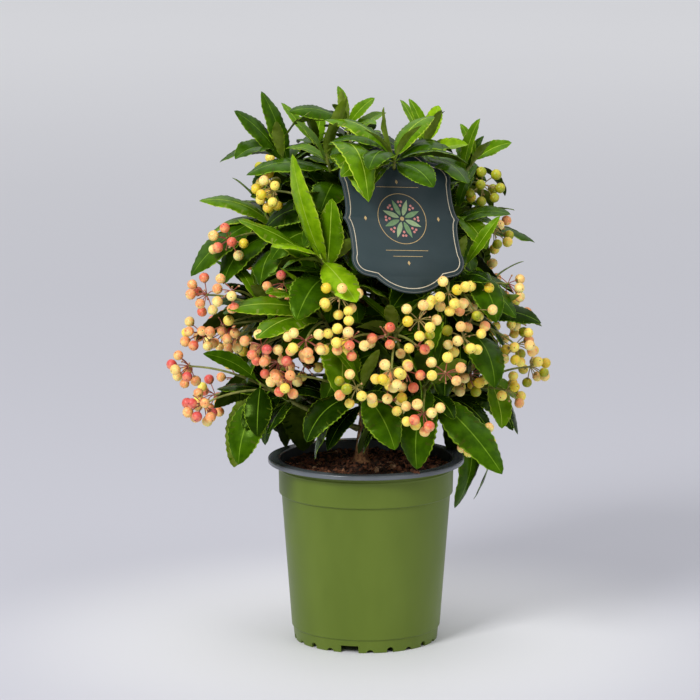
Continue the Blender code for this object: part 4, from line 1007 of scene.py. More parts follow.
# %% Leaves of a shoot
Leaf = namedtuple("Leaf", "base turn rise length bend width roll age young solid")
LEAF_THICKNESS = 0.0011
PETIOLE = 0.0006
LEAF_RINGS = ((0.34, 0.96), (0.68, 0.82))
YOUNG_RINGS = ((0.50, 1.0),)
OUTER_PART = 0.34
LEAFY_SHARE = 0.50
POSED_FROM = 0.78
POSED_WIDTH = 0.36
WIDEST_POSED = 0.0240
YOUNG_LEAVES = 3
YOUNG_LENGTH = 0.040
LEAF_WIDTH = 0.38
YOUNG_WIDTH = 0.28
YOUNG_SCALE = 0.62
YOUNG_RISE = 60.0
YOUNG_BEND = 20.0
TIP_RISE = 24.0
AGE_FALL = 22.0
TIER_MIDDLE = 0.2500
TIER_LIFT = 200.0
SIDE_SPREAD = 145.0
CROWDED_TURN = 24.0
CROWDED_RISE = 30.0
OPEN_FRONT = -0.0200
OPEN_HEIGHT = 0.1450
CHANCE_TURN = 8.0
CHANCE_SIZE = 0.06
CHANCE_ROLL = 18.0
POSED_ROLL = 10.0
FRONT_TILT = 35.0
HALF_TURN = 180.0
FINE_EVERY = 6


def aimed(base, end, bend):
    """The turn, rise and length of a leaf or stalk that bends from its base to an end."""
    chord = Vector(end) - base
    turn = math.degrees(math.atan2(chord.y, chord.x))
    rise = math.degrees(math.asin(chord.z / chord.length)) + bend / 2
    return turn, rise, chord.length / math.cos(math.radians(bend / 2))


def posed_leaves(shoot, path):
    """The leaves of a shoot whose tips have a place of their own."""
    rng = random.Random("posed leaves of " + shoot.name)
    tips = POSED_TIPS.get(shoot.name, ())
    first = PAST_EYE if shoot.name == LABEL_SHOOT else POSED_FROM
    leaves = []
    for i, (x, y, z, bend) in enumerate(tips):
        base = bezier(*path, first + (0.99 - first) * (i + 1) / len(tips))
        turn, rise, length = aimed(base, (x, y, z), bend)
        width = min(WIDEST_POSED, POSED_WIDTH * length + 0.003)
        roll = rng.uniform(-POSED_ROLL, POSED_ROLL)
        front_tilt = FRONT_TILT * math.cos(math.radians(turn)) * max(0.0, 1 - bend / 90)
        roll += HALF_TURN if bend < 0 else front_tilt
        leaves.append(Leaf(base, turn, rise, length, bend, width, roll, 0.5, length < YOUNG_LENGTH, True))
    return leaves


def spiral_leaves(shoot, path, posed):
    """The other leaves of a shoot, on a spiral that fills the turns which its posed ones leave free."""
    rng = random.Random("spiral leaves of " + shoot.name)
    leaves = []
    spread = 180.0 if shoot.reach < CREST_REACH else SIDE_SPREAD
    leafy = PAST_EYE if shoot.name == LABEL_SHOOT else LEAFY_SHARE
    lift = TIER_LIFT * (shoot.height - TIER_MIDDLE)
    for i in range(shoot.leaves):
        age = 1 - i / (shoot.leaves - 1)
        share = (i * GOLDEN_SHARE + shoot.spin) % 1
        turn = shoot.turn + spread * (2 * share - 1) + rng.uniform(-CHANCE_TURN, CHANCE_TURN)
        young = i >= shoot.leaves - YOUNG_LEAVES
        length = shoot.blade * (YOUNG_SCALE if young else 0.95 + 0.2 * age)
        length *= rng.uniform(1 - CHANCE_SIZE, 1 + CHANCE_SIZE)
        rise = YOUNG_RISE if young else TIP_RISE - AGE_FALL * age + lift
        rise += rng.uniform(-CHANCE_TURN, CHANCE_TURN)
        bend = YOUNG_BEND if young else shoot.droop * (0.9 + 0.5 * age)
        bend += rng.uniform(-CHANCE_TURN, CHANCE_TURN)
        base = bezier(*path, 1 - (1 - leafy) * age)
        width = length * (YOUNG_WIDTH if young else LEAF_WIDTH)
        width *= rng.uniform(1 - CHANCE_SIZE, 1 + CHANCE_SIZE)
        roll = rng.uniform(-CHANCE_ROLL, CHANCE_ROLL)
        solid = i % FINE_EVERY != FINE_EVERY - 1
        leaf = Leaf(base, turn, rise, length, bend, width, roll, age, young, solid)
        crowded = any(abs((leaf.turn - other.turn + 180) % 360 - 180) < CROWDED_TURN
                      and abs(leaf.rise - other.rise) < CROWDED_RISE for other in posed)
        tip = leaf_tip(leaf)
        hides_soil = tip.y < OPEN_FRONT and tip.z < OPEN_HEIGHT
        if not crowded and not hides_soil:
            leaves.append(leaf)
    return leaves


def leaf_tip(leaf):
    """The place of a leaf's tip."""
    return bent_path(leaf.base, leaf.turn, leaf.rise, leaf.length, leaf.bend, [1.0])[0]


def leaf_body(leaf, swell=0.0, start=0.0):
    """A thin three-sided blade with a keel below, from a share of its length to its tip."""
    widths = dict(YOUNG_RINGS if leaf.young else LEAF_RINGS)
    shares = [start] + [share for share in widths if share > start] + [1.0]
    points = bent_path(leaf.base, leaf.turn, leaf.rise, leaf.length, leaf.bend, shares)
    thick = LEAF_THICKNESS / 2 + swell
    rings = []
    for share, point in zip(shares, points):
        along = heading(leaf.turn, leaf.rise - leaf.bend * share)
        side = Matrix.Rotation(math.radians(leaf.roll), 3, along) @ heading(leaf.turn + 90, 0)
        up = along.cross(side)
        half = (leaf.width / 2 * widths[share] if share in widths else PETIOLE) + swell
        if share == 1.0:
            rings.append([point + along * swell])
        else:
            rings.append([point + side * half + up * thick, point - side * half + up * thick,
                          point - up * thick])
    return loft(rings)


# %% Bunches of a shoot
Umbel = namedtuple("Umbel", "base turn rise length bend berries")
BERRY_RADIUS = 0.0036
PEDICEL = 0.0117
PEDICEL_RADIUS = 0.0004
STALK_RADIUS = 0.0008
STALK_BEND = 35.0
STALK_SHARES = (0.0, 0.35, 0.7, 1.0)
STALK_LENGTHS = (0.036, 0.050)
STALK_RISES = (-22.0, 12.0)
STALK_BENDS = (15.0, 45.0)
UMBEL_SPREAD = 105.0
UMBEL_FALL = 15.0
UMBEL_FAN = 52.0
BUNCHES_FROM = 0.70
BALL = bmesh.new()
bmesh.ops.create_icosphere(BALL, subdivisions=1, radius=1.0)
BALL.normal_update()
BALL.faces.ensure_lookup_table()
BALL_POINTS = [vertex.co.copy() for vertex in BALL.verts]
BALL_FACES = [tuple(vertex.index for vertex in face.verts) for face in BALL.faces]
BALL_FRONT = BALL.faces[0].normal.copy()
BALL.free()


def berry_body(centre, stalk_end, swell=0.0):
    """A round berry of twenty faces, with one of them square to its stalk."""
    facing = BALL_FRONT.rotation_difference(stalk_end - centre).to_matrix()
    radius = BERRY_RADIUS + swell
    return [centre + facing @ (point * radius) for point in BALL_POINTS], BALL_FACES


def posed_umbels(shoot, path):
    """The bunches of berries of a shoot whose stalks end in a place of their own."""
    rng = random.Random("posed umbels of " + shoot.name)
    posed = POSED_BUNCHES.get(shoot.name, ())
    bunches = []
    for i, end in enumerate(posed):
        base = bezier(*path, BUNCHES_FROM + 0.25 * (i + 0.5) / len(posed))
        turn, rise, length = aimed(base, end, STALK_BEND)
        bunches.append(Umbel(base, turn, rise, length, STALK_BEND, rng.randint(10, 12)))
    return bunches


def spread_umbels(shoot, path):
    """The other bunches of a shoot, on stalks that spread out below its leaves."""
    rng = random.Random("spread umbels of " + shoot.name)
    bunches = []
    for i in range(len(POSED_BUNCHES.get(shoot.name, ())), shoot.umbels):
        base = bezier(*path, BUNCHES_FROM + 0.20 * rng.random())
        fan = (i + 0.5) / shoot.umbels * 2 - 1
        turn = shoot.turn + UMBEL_FAN * fan + rng.uniform(-CHANCE_TURN, CHANCE_TURN)
        length = rng.uniform(*STALK_LENGTHS)
        rise = rng.uniform(*STALK_RISES)
        bend = rng.uniform(*STALK_BENDS)
        bunches.append(Umbel(base, turn, rise, length, bend, rng.randint(8, 11)))
    return bunches


def berry_centres(umbel, end):
    """Even places for an umbel's berries, on a cap that faces the way its stalk points."""
    axis = heading(umbel.turn, umbel.rise - umbel.bend - UMBEL_FALL)
    turn_to = Vector((0, 0, 1)).rotation_difference(axis)
    centres = []
    for i in range(umbel.berries):
        polar = math.acos(1 - (1 - math.cos(math.radians(UMBEL_SPREAD))) * (i + 0.5) / umbel.berries)
        around = math.radians(GOLDEN_TURN * i)
        spoke = Vector((math.sin(polar) * math.cos(around), math.sin(polar) * math.sin(around),
                        math.cos(polar)))
        centres.append(end + turn_to @ spoke * PEDICEL)
    return centres


# %% Growing
SPACE_RADIUS = 0.1150
TRIES = 26
TRY_STEP = 9.0
ROLL_TRIES = (0.0, 24.0, -24.0, 48.0, -48.0)


def tries():
    """Small changes of turn and rise, on a widening spiral that starts at no change."""
    for i in range(TRIES):
        angle = math.radians(GOLDEN_TURN * i)
        yield TRY_STEP * math.sqrt(i) * math.cos(angle), TRY_STEP * math.sqrt(i) * math.sin(angle)


def within_space(shoot, point):
    """Whether a point stays in the ball around a shoot's hub that its mass keeps to."""
    return (point - shoot_hub(shoot)).length < SPACE_RADIUS


def grow_leaves(shoot, wanted_leaves, own, others):
    """The leaves that are wanted, each turned a little until it keeps clear, or skipped."""
    leaves = []
    for wanted in wanted_leaves:
        for (turned, raised), rolled in itertools.product(tries(), ROLL_TRIES):
            leaf = wanted._replace(turn=wanted.turn + turned, rise=wanted.rise + raised,
                                   roll=wanted.roll + rolled)
            outer = tree_of(leaf_body(leaf, CLEARANCE, OUTER_PART))
            whole = tree_of(leaf_body(leaf, CLEARANCE))
            if within_space(shoot, leaf_tip(leaf)) and is_clear(outer, own) and is_clear(whole, others):
                leaves.append(leaf)
                own.append(outer)
                break
    return leaves


def grow_bunches(wanted_bunches, own, others):
    """The bunches of a shoot, each turned a little until its stalk and most of its berries are clear."""
    bunches = []
    for wanted in wanted_bunches:
        for turned, raised in tries():
            umbel = wanted._replace(turn=wanted.turn + turned, rise=wanted.rise + raised)
            stalk = bent_path(umbel.base, umbel.turn, umbel.rise, umbel.length, umbel.bend, STALK_SHARES)
            whole = tree_of(twig_body(stalk, [STALK_RADIUS + CLEARANCE] * 4))
            outer = tree_of(twig_body(stalk[1:], [STALK_RADIUS + CLEARANCE] * 3))
            if not (is_clear(outer, own) and is_clear(whole, others)):
                continue
            berries = []
            for centre in berry_centres(umbel, stalk[-1]):
                fruit = tree_of(berry_body(centre, stalk[-1], CLEARANCE))
                spoke = tree_of(twig_body([stalk[-1], centre], [PEDICEL_RADIUS + CLEARANCE] * 2))
                if is_clear(fruit, own + others) and is_clear(spoke, others):
                    berries.append((centre, fruit))
            if len(berries) * 3 >= umbel.berries * 2:
                bunches.append((stalk, [centre for centre, _ in berries]))
                own.extend(fruit for _, fruit in berries)
                own.append(outer)
                break
    return bunches


def mass_body(shoot, path, leaves, bunches):
    """A search tree of everything that a mass carries."""
    meshes = [stem_body(shoot, path)] + [leaf_body(leaf) for leaf in leaves]
    for stalk, centres in bunches:
        meshes.append(twig_body(stalk, [STALK_RADIUS] * len(stalk)))
        for centre in centres:
            meshes.append(berry_body(centre, stalk[-1]))
            meshes.append(twig_body([stalk[-1], centre], [PEDICEL_RADIUS] * 2))
    return tree_of(*meshes)


def grow_plant():
    """The path of each shoot's limb, and the leaves and bunches that each shoot carries."""
    trunk_tree = tree_of(trunk_guard())
    label_tree = tree_of(label_guard())
    paths = clear_paths(trunk_tree, label_tree)
    boughs = [tree_of(twig_body(*bough_line(paths[shoot.name]), sides=6))
              for shoot in SHOOTS if has_bough(shoot)]
    fixed = [tree_of(pot_guard()), trunk_tree, label_tree] + boughs
    bodies = {shoot.name: tree_of(stem_body(shoot, paths[shoot.name])) for shoot in SHOOTS}
    inner = {shoot.name: [] for shoot in SHOOTS}
    grown = {shoot.name: ([], []) for shoot in SHOOTS}
    for posed in (True, False):
        for shoot in SHOOTS:
            path = paths[shoot.name]
            own = inner[shoot.name]
            others = fixed + [tree for name, tree in bodies.items() if name != shoot.name]
            leaves, bunches = grown[shoot.name]
            if posed:
                leaves += grow_leaves(shoot, posed_leaves(shoot, path), own, others)
                bunches += grow_bunches(posed_umbels(shoot, path), own, others)
            else:
                bunches += grow_bunches(spread_umbels(shoot, path), own, others)
                leaves += grow_leaves(shoot, spiral_leaves(shoot, path, list(leaves)), own, others)
            bodies[shoot.name] = mass_body(shoot, path, leaves, bunches)
    return paths, grown, inner, fixed, bodies


paths, grown, inner, fixed, bodies = grow_plant()
print("leaves", sum(len(leaves) for leaves, _ in grown.values()))
print("berries", sum(len(centres) for _, bunches in grown.values() for _, centres in bunches))


# %% [markdown]
# The source's rule stops at what a solid needs. On the real plant smaller leaves fill the inside of the
# crown, and more bunches hang between the main ones, so the same rule goes on here with shorter leaves
# and shorter stalks, each of which has to find a free place too. Nothing new reaches further out.

# %% Finer growth
FINE_LEAVES = 15
FINE_SCALE = (0.50, 0.80)
FINE_FROM = 0.30
FINE_RISE = (-30.0, 55.0)
FINE_BEND = (25.0, 70.0)
FINE_BUNCHES = 4
HIGHEST_FINE_BUNCH = 0.2500
LOWEST_FINE_BUNCH = 0.1720
LOWEST_FINE_LEAF = 0.1500
OPEN_RADIUS = 0.0750


def fine_leaves(shoot, path):
    """Shorter leaves along the inner part of a shoot, all round it."""
    rng = random.Random("fine leaves of " + shoot.name)
    leaves = []
    for i in range(FINE_LEAVES):
        base = bezier(*path, rng.uniform(FINE_FROM, 0.98))
        turn = shoot.turn + 180 * (2 * ((i * GOLDEN_SHARE + shoot.spin) % 1) - 1)
        length = shoot.blade * rng.uniform(*FINE_SCALE)
        rise = rng.uniform(*FINE_RISE)
        width = length * LEAF_WIDTH * rng.uniform(0.85, 1.0)
        roll = rng.uniform(-CHANCE_ROLL, CHANCE_ROLL)
        leaf = Leaf(base, turn, rise, length, rng.uniform(*FINE_BEND), width, roll, rng.random(),
                    length < YOUNG_LENGTH, False)
        tip = leaf_tip(leaf)
        if tip.z > LOWEST_FINE_LEAF or math.hypot(*tip.xy) > OPEN_RADIUS:
            leaves.append(leaf)
    return leaves


def fine_umbels(shoot, path):
    """More bunches between the main ones, on shorter stalks."""
    rng = random.Random("fine umbels of " + shoot.name)
    bunches = []
    for i in range(FINE_BUNCHES if shoot.umbels else 0):
        base = bezier(*path, rng.uniform(0.55, 0.9))
        turn = shoot.turn + UMBEL_FAN * rng.uniform(-1.3, 1.3)
        bunch = Umbel(base, turn, rng.uniform(-30, 15), rng.uniform(0.026, 0.044),
                      rng.uniform(15, 45), rng.randint(6, 9))
        end = bent_path(base, turn, bunch.rise, bunch.length, bunch.bend, STALK_SHARES)[-1]
        if base.z < HIGHEST_FINE_BUNCH and end.z > LOWEST_FINE_BUNCH:
            bunches.append(bunch)
    return bunches


def grow_finer():
    """Add finer leaves and bunches to each shoot, clear of all that has grown."""
    for shoot in SHOOTS:
        path = paths[shoot.name]
        own = inner[shoot.name]
        others = fixed + [tree for name, tree in bodies.items() if name != shoot.name]
        leaves, bunches = grown[shoot.name]
        bunches += grow_bunches(fine_umbels(shoot, path), own, others)
        leaves += grow_leaves(shoot, fine_leaves(shoot, path), own, others)
        bodies[shoot.name] = mass_body(shoot, path, leaves, bunches)


grow_finer()
print("leaves", sum(len(leaves) for leaves, _ in grown.values()))
print("berries", sum(len(centres) for _, bunches in grown.values() for _, centres in bunches))


# %% [markdown]
# Bark is a mesh with relief, because a limb is seen against the sky and a bump alone would leave its
# edge as smooth as a pipe. Rings of points follow each limb and are pushed in and out by noise that is
# drawn out along the limb, and a raised scar marks each place where a leaf once grew.

# %% Bark
SCAR_SPACING = 0.0075
SCAR_HEIGHT = 0.00022


def bark_rings(points, radii, sides, roughness):
    """Rings round a limb with furrows along it and scars across it."""
    rings = []
    walked = 0.0
    for i, ring in enumerate(rings_along(points, radii, sides)):
        walked += (points[i] - points[i - 1]).length if i else 0.0
        scar = math.exp(-((walked / SCAR_SPACING) % 1 - 0.5) ** 2 / 0.012)
        row = []
        for j, point in enumerate(ring):
            out = (point - points[i]).normalized()
            spot = Vector((out.x * 3, out.y * 3, walked * 160))
            furrow = roughness * (noise.noise(spot) + 0.5 * noise.noise(spot * 2.7))
            half = max(0.0, math.cos(2 * math.pi * j / sides + 2.4 * int(walked / SCAR_SPACING)))
            row.append(point + out * (furrow + SCAR_HEIGHT * scar * half))
        rings.append(row)
    return rings


def add_limb(made, points, radii, sides, roughness, slot):
    """A closed limb with relief."""
    rings = bark_rings(points, radii, sides, roughness)
    last = len(rings) * sides
    faces = skin(rings) + [tuple(range(sides))[::-1], tuple(range(last - sides, last))]
    made.add([point for ring in rings for point in ring], faces, slot)


def build_bark():
    """The trunk and every bough, with the leafy stems that go on from them."""
    woody = speckled("woody_bark", rgb(92, 60, 36), rgb(164, 116, 72), 420, 0.85, 0.0003)
    green = speckled("green_bark", rgb(84, 92, 38), rgb(128, 122, 66), 260, 0.55, 0.0001)
    trunk = Gathered()
    steps = 170
    heights = [TRUNK_FOOT + (TRUNK_TIP - TRUNK_FOOT) * i / steps for i in range(steps + 1)]
    add_limb(trunk, [trunk_point(h) for h in heights], [trunk_radius(h) for h in heights], 28, 0.00028, 0)
    trunk.piece("trunk_bark", [woody], "bark", ["trunk"], sharp=60)
    limbs = Gathered()
    names = []
    for shoot in SHOOTS:
        if has_bough(shoot):
            path = paths[shoot.name]
            add_limb(limbs, *tapered(path, 0.0, BOUGH_SHARE, BOUGH_RADIUS, STEM_RADIUS, 44), 12, 0.0001, 0)
            names.append(shoot.name.replace("leaves", "bough"))
    limbs.piece("bough_bark", [green], "green_bark", names, sharp=60)
    stem_rings = Gathered()
    for shoot in SHOOTS:
        path = paths[shoot.name]
        start = BOUGH_SHARE + GAP / (path[2] - path[0]).length if has_bough(shoot) else 0.0
        add_limb(stem_rings, *tapered(path, start, 1.0, STEM_RADIUS, STEM_TIP_RADIUS, 50), 10, 0.00008, 0)
    return stem_rings


leafy_stems = build_bark()


# %% [markdown]
# The leaf is a thick glossy blade with a sunken pale midrib, a scalloped pale margin and faint side
# veins that quilt it. A flat card with a picture of a leaf would look right only from one side. Each
# blade here is a thin closed shell: rows of points run across it from edge to edge, the margin steps
# in and out in threes to make the scallops, and the underside is paler.

# %% Leaf shape
BLADE_FROM = 0.09
SCALLOPS = 13
SCALLOP_DEPTH = 0.065
TIP_BLUNTNESS = 0.66
BLADE_SPREAD = 1.08
BLADE_COLUMNS = (-1.0, -0.935, -0.5, -0.032, 0.032, 0.5, 0.935, 1.0)
UPRIGHT_SLIMNESS = 0.30
TIP_CURL = (0.02, 0.11)
UNDER_COLUMNS = (0.55, 0.0, -0.55)
BLADE_SLOTS = (1, 0, 0, 2, 0, 0, 1)
SHELL = 0.00022
VEIN_DEPTH = 0.00016


def blade_width(share, young):
    """The share of its full width that a blade has at a share of its length."""
    if share <= BLADE_FROM:
        return 0.0
    along = (share - BLADE_FROM) / (1 - BLADE_FROM)
    return math.sin(math.pi * along ** (1.0 if young else 0.94)) ** TIP_BLUNTNESS


def add_leaf(made, leaf, rng):
    """One blade with its stalk: upper faces, margin, midrib and a paler underside."""
    rows = 2 * (SCALLOPS - 4 if leaf.young else SCALLOPS)
    upright = max(0.0, math.sin(math.radians(leaf.rise)))
    full = leaf.width * BLADE_SPREAD * (1 - UPRIGHT_SLIMNESS * upright ** 2)
    fold = rng.uniform(0.12, 0.24) * (1.8 if leaf.young else 1.0)
    cup = rng.uniform(0.24, 0.44) * (0.5 if leaf.young else 1.0)
    wave = rng.uniform(0.01, 0.04) * leaf.width
    beats = rng.uniform(2.0, 3.6)
    phase = rng.uniform(0, 6.3)
    sway = rng.uniform(-0.04, 0.04) * leaf.length
    curl = rng.uniform(*TIP_CURL) * leaf.length

    def lift_at(column, share, half):
        """How far the blade stands off its midrib's plane: a fold, a cup and a wave along its edge."""
        part = abs(column)
        ripple = math.sin(2 * math.pi * beats * share + phase + (column > 0))
        lift = half * (fold * part - cup * part ** 2.2)
        return lift + wave * part ** 2 * ripple * min(1, 4 * half / leaf.width)

    shares = [0.0, 0.5 * BLADE_FROM] + [BLADE_FROM + (1 - BLADE_FROM) * i / rows for i in range(rows + 1)]
    middles = bent_path(leaf.base, leaf.turn, leaf.rise, leaf.length, leaf.bend, shares)
    upper = []
    under = []
    for i, (share, middle) in enumerate(zip(shares, middles)):
        along = heading(leaf.turn, leaf.rise - leaf.bend * share)
        side = Matrix.Rotation(math.radians(leaf.roll), 3, along) @ heading(leaf.turn + 90, 0)
        up = along.cross(side)
        middle = middle + side * sway * math.sin(math.pi * share) - up * curl * share ** 3
        step = i - 2
        half = max(PETIOLE if share < 0.97 else 0.0001, full / 2 * blade_width(share, leaf.young))
        notch = 1 - SCALLOP_DEPTH if step % 2 == 0 else 1.01
        row = []
        for column in BLADE_COLUMNS:
            part = abs(column)
            out = half * column * (notch if part > 0.9 and step > 0 else 1.0)
            quilt = math.cos(2 * math.pi * (step / 3 - 0.55 * part)) * (0.08 < part < 0.97)
            row.append(middle + side * out + up * (lift_at(column, share, half) + VEIN_DEPTH * quilt))
        upper.append(row)
        lower = []
        for column in UNDER_COLUMNS:
            below = SHELL if column else PETIOLE * (1.4 - share)
            lower.append(middle + side * half * column + up * (lift_at(column, share, half) - below))
        under.append(lower)
    across = len(BLADE_COLUMNS) + len(UNDER_COLUMNS)
    points = [point for top, low in zip(upper, under) for point in top + low]
    slots = list(BLADE_SLOTS) + [3] * (len(UNDER_COLUMNS) + 1)
    first = len(made.points)
    made.points.extend(points)
    for i in range(len(shares) - 1):
        for j in range(across):
            k = (j + 1) % across
            made.faces.append([first + i * across + j, first + i * across + k,
                               first + (i + 1) * across + k, first + (i + 1) * across + j])
            made.slots.append(2 if i < 2 and slots[j] != 3 else slots[j])
    last = first + (len(shares) - 1) * across
    made.faces.extend([list(range(first, first + across))[::-1], list(range(last, last + across))])
    made.slots.extend([2, 1])


# %% Leaf finishes and colours
GREEN_GLOSS = (0.42, 0.72, 0.10, 1.0)


def leaf_gloss(name, dark, pale, roughness=0.22):
    """Waxy leaf tissue: clouded green with a soft gloss that is green too."""
    material, shader, place = finish(name, dark, roughness, Specular_IOR_Level=0.20,
                                     Specular_Tint=GREEN_GLOSS)
    feed(shader, "Base Color", cloud(place, 150.0, detail=4.0).step(0.3, 0.7).paint(dark, pale))
    feed(shader, "Roughness", roughness - 0.05 + 0.12 * cloud(place, 500.0))
    bump(shader, cloud(place, 1400.0), 0.25, 0.00012)
    return material


MARGIN = leaf_gloss("leaf_margin", rgb(92, 124, 18), rgb(126, 154, 38), 0.4)
MIDRIB = leaf_gloss("leaf_midrib", rgb(84, 118, 20), rgb(112, 142, 38), 0.4)
LIME_MARGIN = leaf_gloss("lime_margin", rgb(134, 162, 30), rgb(168, 190, 56), 0.4)
LIME_MIDRIB = leaf_gloss("lime_midrib", rgb(140, 168, 44), rgb(170, 192, 70), 0.4)
# The dull underside is the leaf's own olive, darkened further as painted shade for the crown's inside.
DULL_BACK = leaf_gloss("dull_back", rgb(42, 58, 6), rgb(66, 84, 16), 0.5)
BRIGHT_BACK = leaf_gloss("bright_back", rgb(94, 114, 24), rgb(122, 140, 54), 0.5)
TINTS = {
    # The dark green is the deep green of old leaves, darkened further as painted shade for the inside of the
    # crown.
    "dark": [leaf_gloss("leaf_dark", rgb(17, 37, 1), rgb(29, 53, 2)), MARGIN, MIDRIB, DULL_BACK],
    "middle": [leaf_gloss("leaf_middle", rgb(40, 70, 2), rgb(58, 92, 4)), MARGIN, MIDRIB, DULL_BACK],
    "fresh": [leaf_gloss("leaf_fresh", rgb(70, 106, 4), rgb(92, 130, 8)), LIME_MARGIN, LIME_MIDRIB,
              BRIGHT_BACK],
    "lime": [leaf_gloss("leaf_lime", rgb(104, 144, 6), rgb(140, 176, 20)), LIME_MARGIN, LIME_MIDRIB,
             BRIGHT_BACK],
}


# How much fresher or darker than the rule some sprays are
SPRAY_TONES = {"leaves_upper_front_left": 0.12, "leaves_crest": 0.06, "leaves_top_front_left": 0.08,
               "leaves_top_front_right": 0.02, "leaves_low_front": -0.14, "leaves_low_right": -0.14}
CURLED_TONE = 0.22
FRONT_TONE = 0.15
FRONT_TIP = -0.0850
# Inner leaves are dealt a darker green: painted shade for the inside of the crown.
INSIDE_PAINTED_SHADE = -0.14


def tint_of(shoot, leaf, rng):
    """Which green a leaf has: paler high in the crown and near a shoot's tip, and darker inside it as painted
    shade.
    """
    tone = 0.27 + 0.5 * (leaf.base.z - 0.24) + 0.24 * (1 - leaf.age) + rng.gauss(0, 0.11)
    tone += SPRAY_TONES.get(shoot.name, 0.0) + (0.10 if leaf.young else 0.0)
    # Inner leaves turn darker here as painted shade.
    tone += (CURLED_TONE if leaf.bend < 0 else 0.0) + (0.0 if leaf.solid else INSIDE_PAINTED_SHADE)
    tone += FRONT_TONE if leaf_tip(leaf).y < FRONT_TIP else 0.0
    for limit, tint in ((0.30, "dark"), (0.52, "middle"), (0.74, "fresh")):
        if tone < limit:
            return tint
    return "lime"


# %% Leaves
MASS_NODES = [shoot.name for shoot in SHOOTS]


def build_leaves():
    """Every blade, gathered by its green."""
    gathered = {tint: Gathered() for tint in TINTS}
    for shoot in SHOOTS:
        rng = random.Random("blades of " + shoot.name)
        for leaf in grown[shoot.name][0]:
            add_leaf(gathered[tint_of(shoot, leaf, rng)], leaf, rng)
    for tint, made in gathered.items():
        made.piece("leaves_" + tint + "_green", TINTS[tint], "foliage", MASS_NODES, sharp=70)


build_leaves()


# %% [markdown]
# A bunch is an umbel: a green stalk that ends in a knob, from which thin stalks spread like the ribs of
# an umbrella, each with one berry. A berry is nearly round, with a small star of sepals at its stalk
# and a dark speck at its far end. The berries ripen from lime through cream and peach to coral, and
# those on one bunch ripen together, so each bunch is dealt a ripeness and its berries vary around it.

# %% Berry shape
BERRY_RINGS = 9
BERRY_SPOKES = 14
SPECK_RADIUS = 0.00042
SEPALS = 5


def berry_shape():
    """A unit berry with its far end at +Z: points and faces, and a slot for each face."""
    made = Gathered()
    rows = []
    for i in range(1, BERRY_RINGS):
        polar = math.pi * i / BERRY_RINGS
        dimple = 1 - 0.05 * math.exp(-(polar / 0.35) ** 2)
        rows.append([Vector((math.sin(polar) * math.cos(2 * math.pi * j / BERRY_SPOKES),
                             math.sin(polar) * math.sin(2 * math.pi * j / BERRY_SPOKES),
                             0.97 * math.cos(polar))) * dimple for j in range(BERRY_SPOKES)])
    points = [Vector((0, 0, 0.91))] + [p for row in rows for p in row] + [Vector((0, 0, -0.97))]
    faces = [(0, 1 + j, 1 + (j + 1) % BERRY_SPOKES) for j in range(BERRY_SPOKES)]
    faces += [tuple(i + 1 for i in face) for face in skin(rows)]
    last = len(points) - 1
    faces += [(last, last - 1 - j, last - 1 - (j + 1) % BERRY_SPOKES) for j in range(BERRY_SPOKES)]
    made.add(points, faces)
    return made


def speck_shape():
    """The dark speck at the far end, as a low cone."""
    size = SPECK_RADIUS / BERRY_RADIUS
    turns = [i * math.pi / 3 for i in range(6)]
    ring = [Vector((size * math.cos(turn), size * math.sin(turn), 0.90)) for turn in turns]
    return ring + [Vector((0, 0, 1.03))], [(i, (i + 1) % 6, 6) for i in range(6)] + [tuple(range(6))[::-1]]


def sepal_shape():
    """A star of five sepals that hugs the berry round its stalk."""
    points = []
    faces = []
    for i in range(SEPALS):
        turn = 2 * math.pi * i / SEPALS
        first = len(points)
        for polar, spread in ((0.05, 0.0), (0.22, 0.45), (0.46, 0.0), (0.22, -0.45)):
            around = turn + spread
            points.append(Vector((math.sin(polar) * math.cos(around), math.sin(polar) * math.sin(around),
                                  -math.cos(polar))) * 1.05)
        inner_ring = [point * 0.93 for point in points[first:]]
        points.extend(inner_ring)
        faces.extend([(first, first + 1, first + 2, first + 3), (first + 7, first + 6, first + 5, first + 4)])
        for j in range(4):
            k = (j + 1) % 4
            faces.append((first + j, first + 4 + j, first + 4 + k, first + k))
    return points, faces


BERRY_SHAPE = berry_shape()
SPECK_SHAPE = speck_shape()
SEPAL_SHAPE = sepal_shape()


# %% Berry finishes
def berry_finish(name, main, blush, amount):
    """Waxy skin with a blush, which clouds over it and is strongest on the side that gets the sun."""
    material, shader, place = finish(name, main, 0.34, Specular_IOR_Level=0.4, Subsurface_Weight=0.35,
                                     Subsurface_Scale=0.002)
    facing = Field(place.tree, place.socket.node.outputs["Normal"]).upward()
    mask = cloud(place, 190.0, detail=2.0) + 0.16 * facing
    feed(shader, "Base Color", mask.step(0.62 - amount, 0.84 - amount).paint(main, blush))
    feed(shader, "Roughness", 0.30 + 0.12 * cloud(place, 700.0))
    bump(shader, cloud(place, 2200.0), 0.15, 0.00008)
    return material


BERRY_FINISHES = (
    ("lime", berry_finish("berry_lime", rgb(158, 164, 26), rgb(190, 184, 48), 0.15)),
    ("golden", berry_finish("berry_golden", rgb(230, 208, 54), rgb(238, 200, 70), 0.15)),
    ("yellow", berry_finish("berry_yellow", rgb(254, 232, 106), rgb(252, 212, 96), 0.15)),
    ("cream", berry_finish("berry_cream", rgb(255, 232, 142), rgb(252, 202, 122), 0.20)),
    ("peach", berry_finish("berry_peach", rgb(254, 208, 126), rgb(244, 164, 106), 0.24)),
    ("coral", berry_finish("berry_coral", rgb(246, 168, 108), rgb(228, 112, 84), 0.24)),
    ("pink", berry_finish("berry_pink", rgb(236, 142, 108), rgb(216, 90, 84), 0.24)),
)


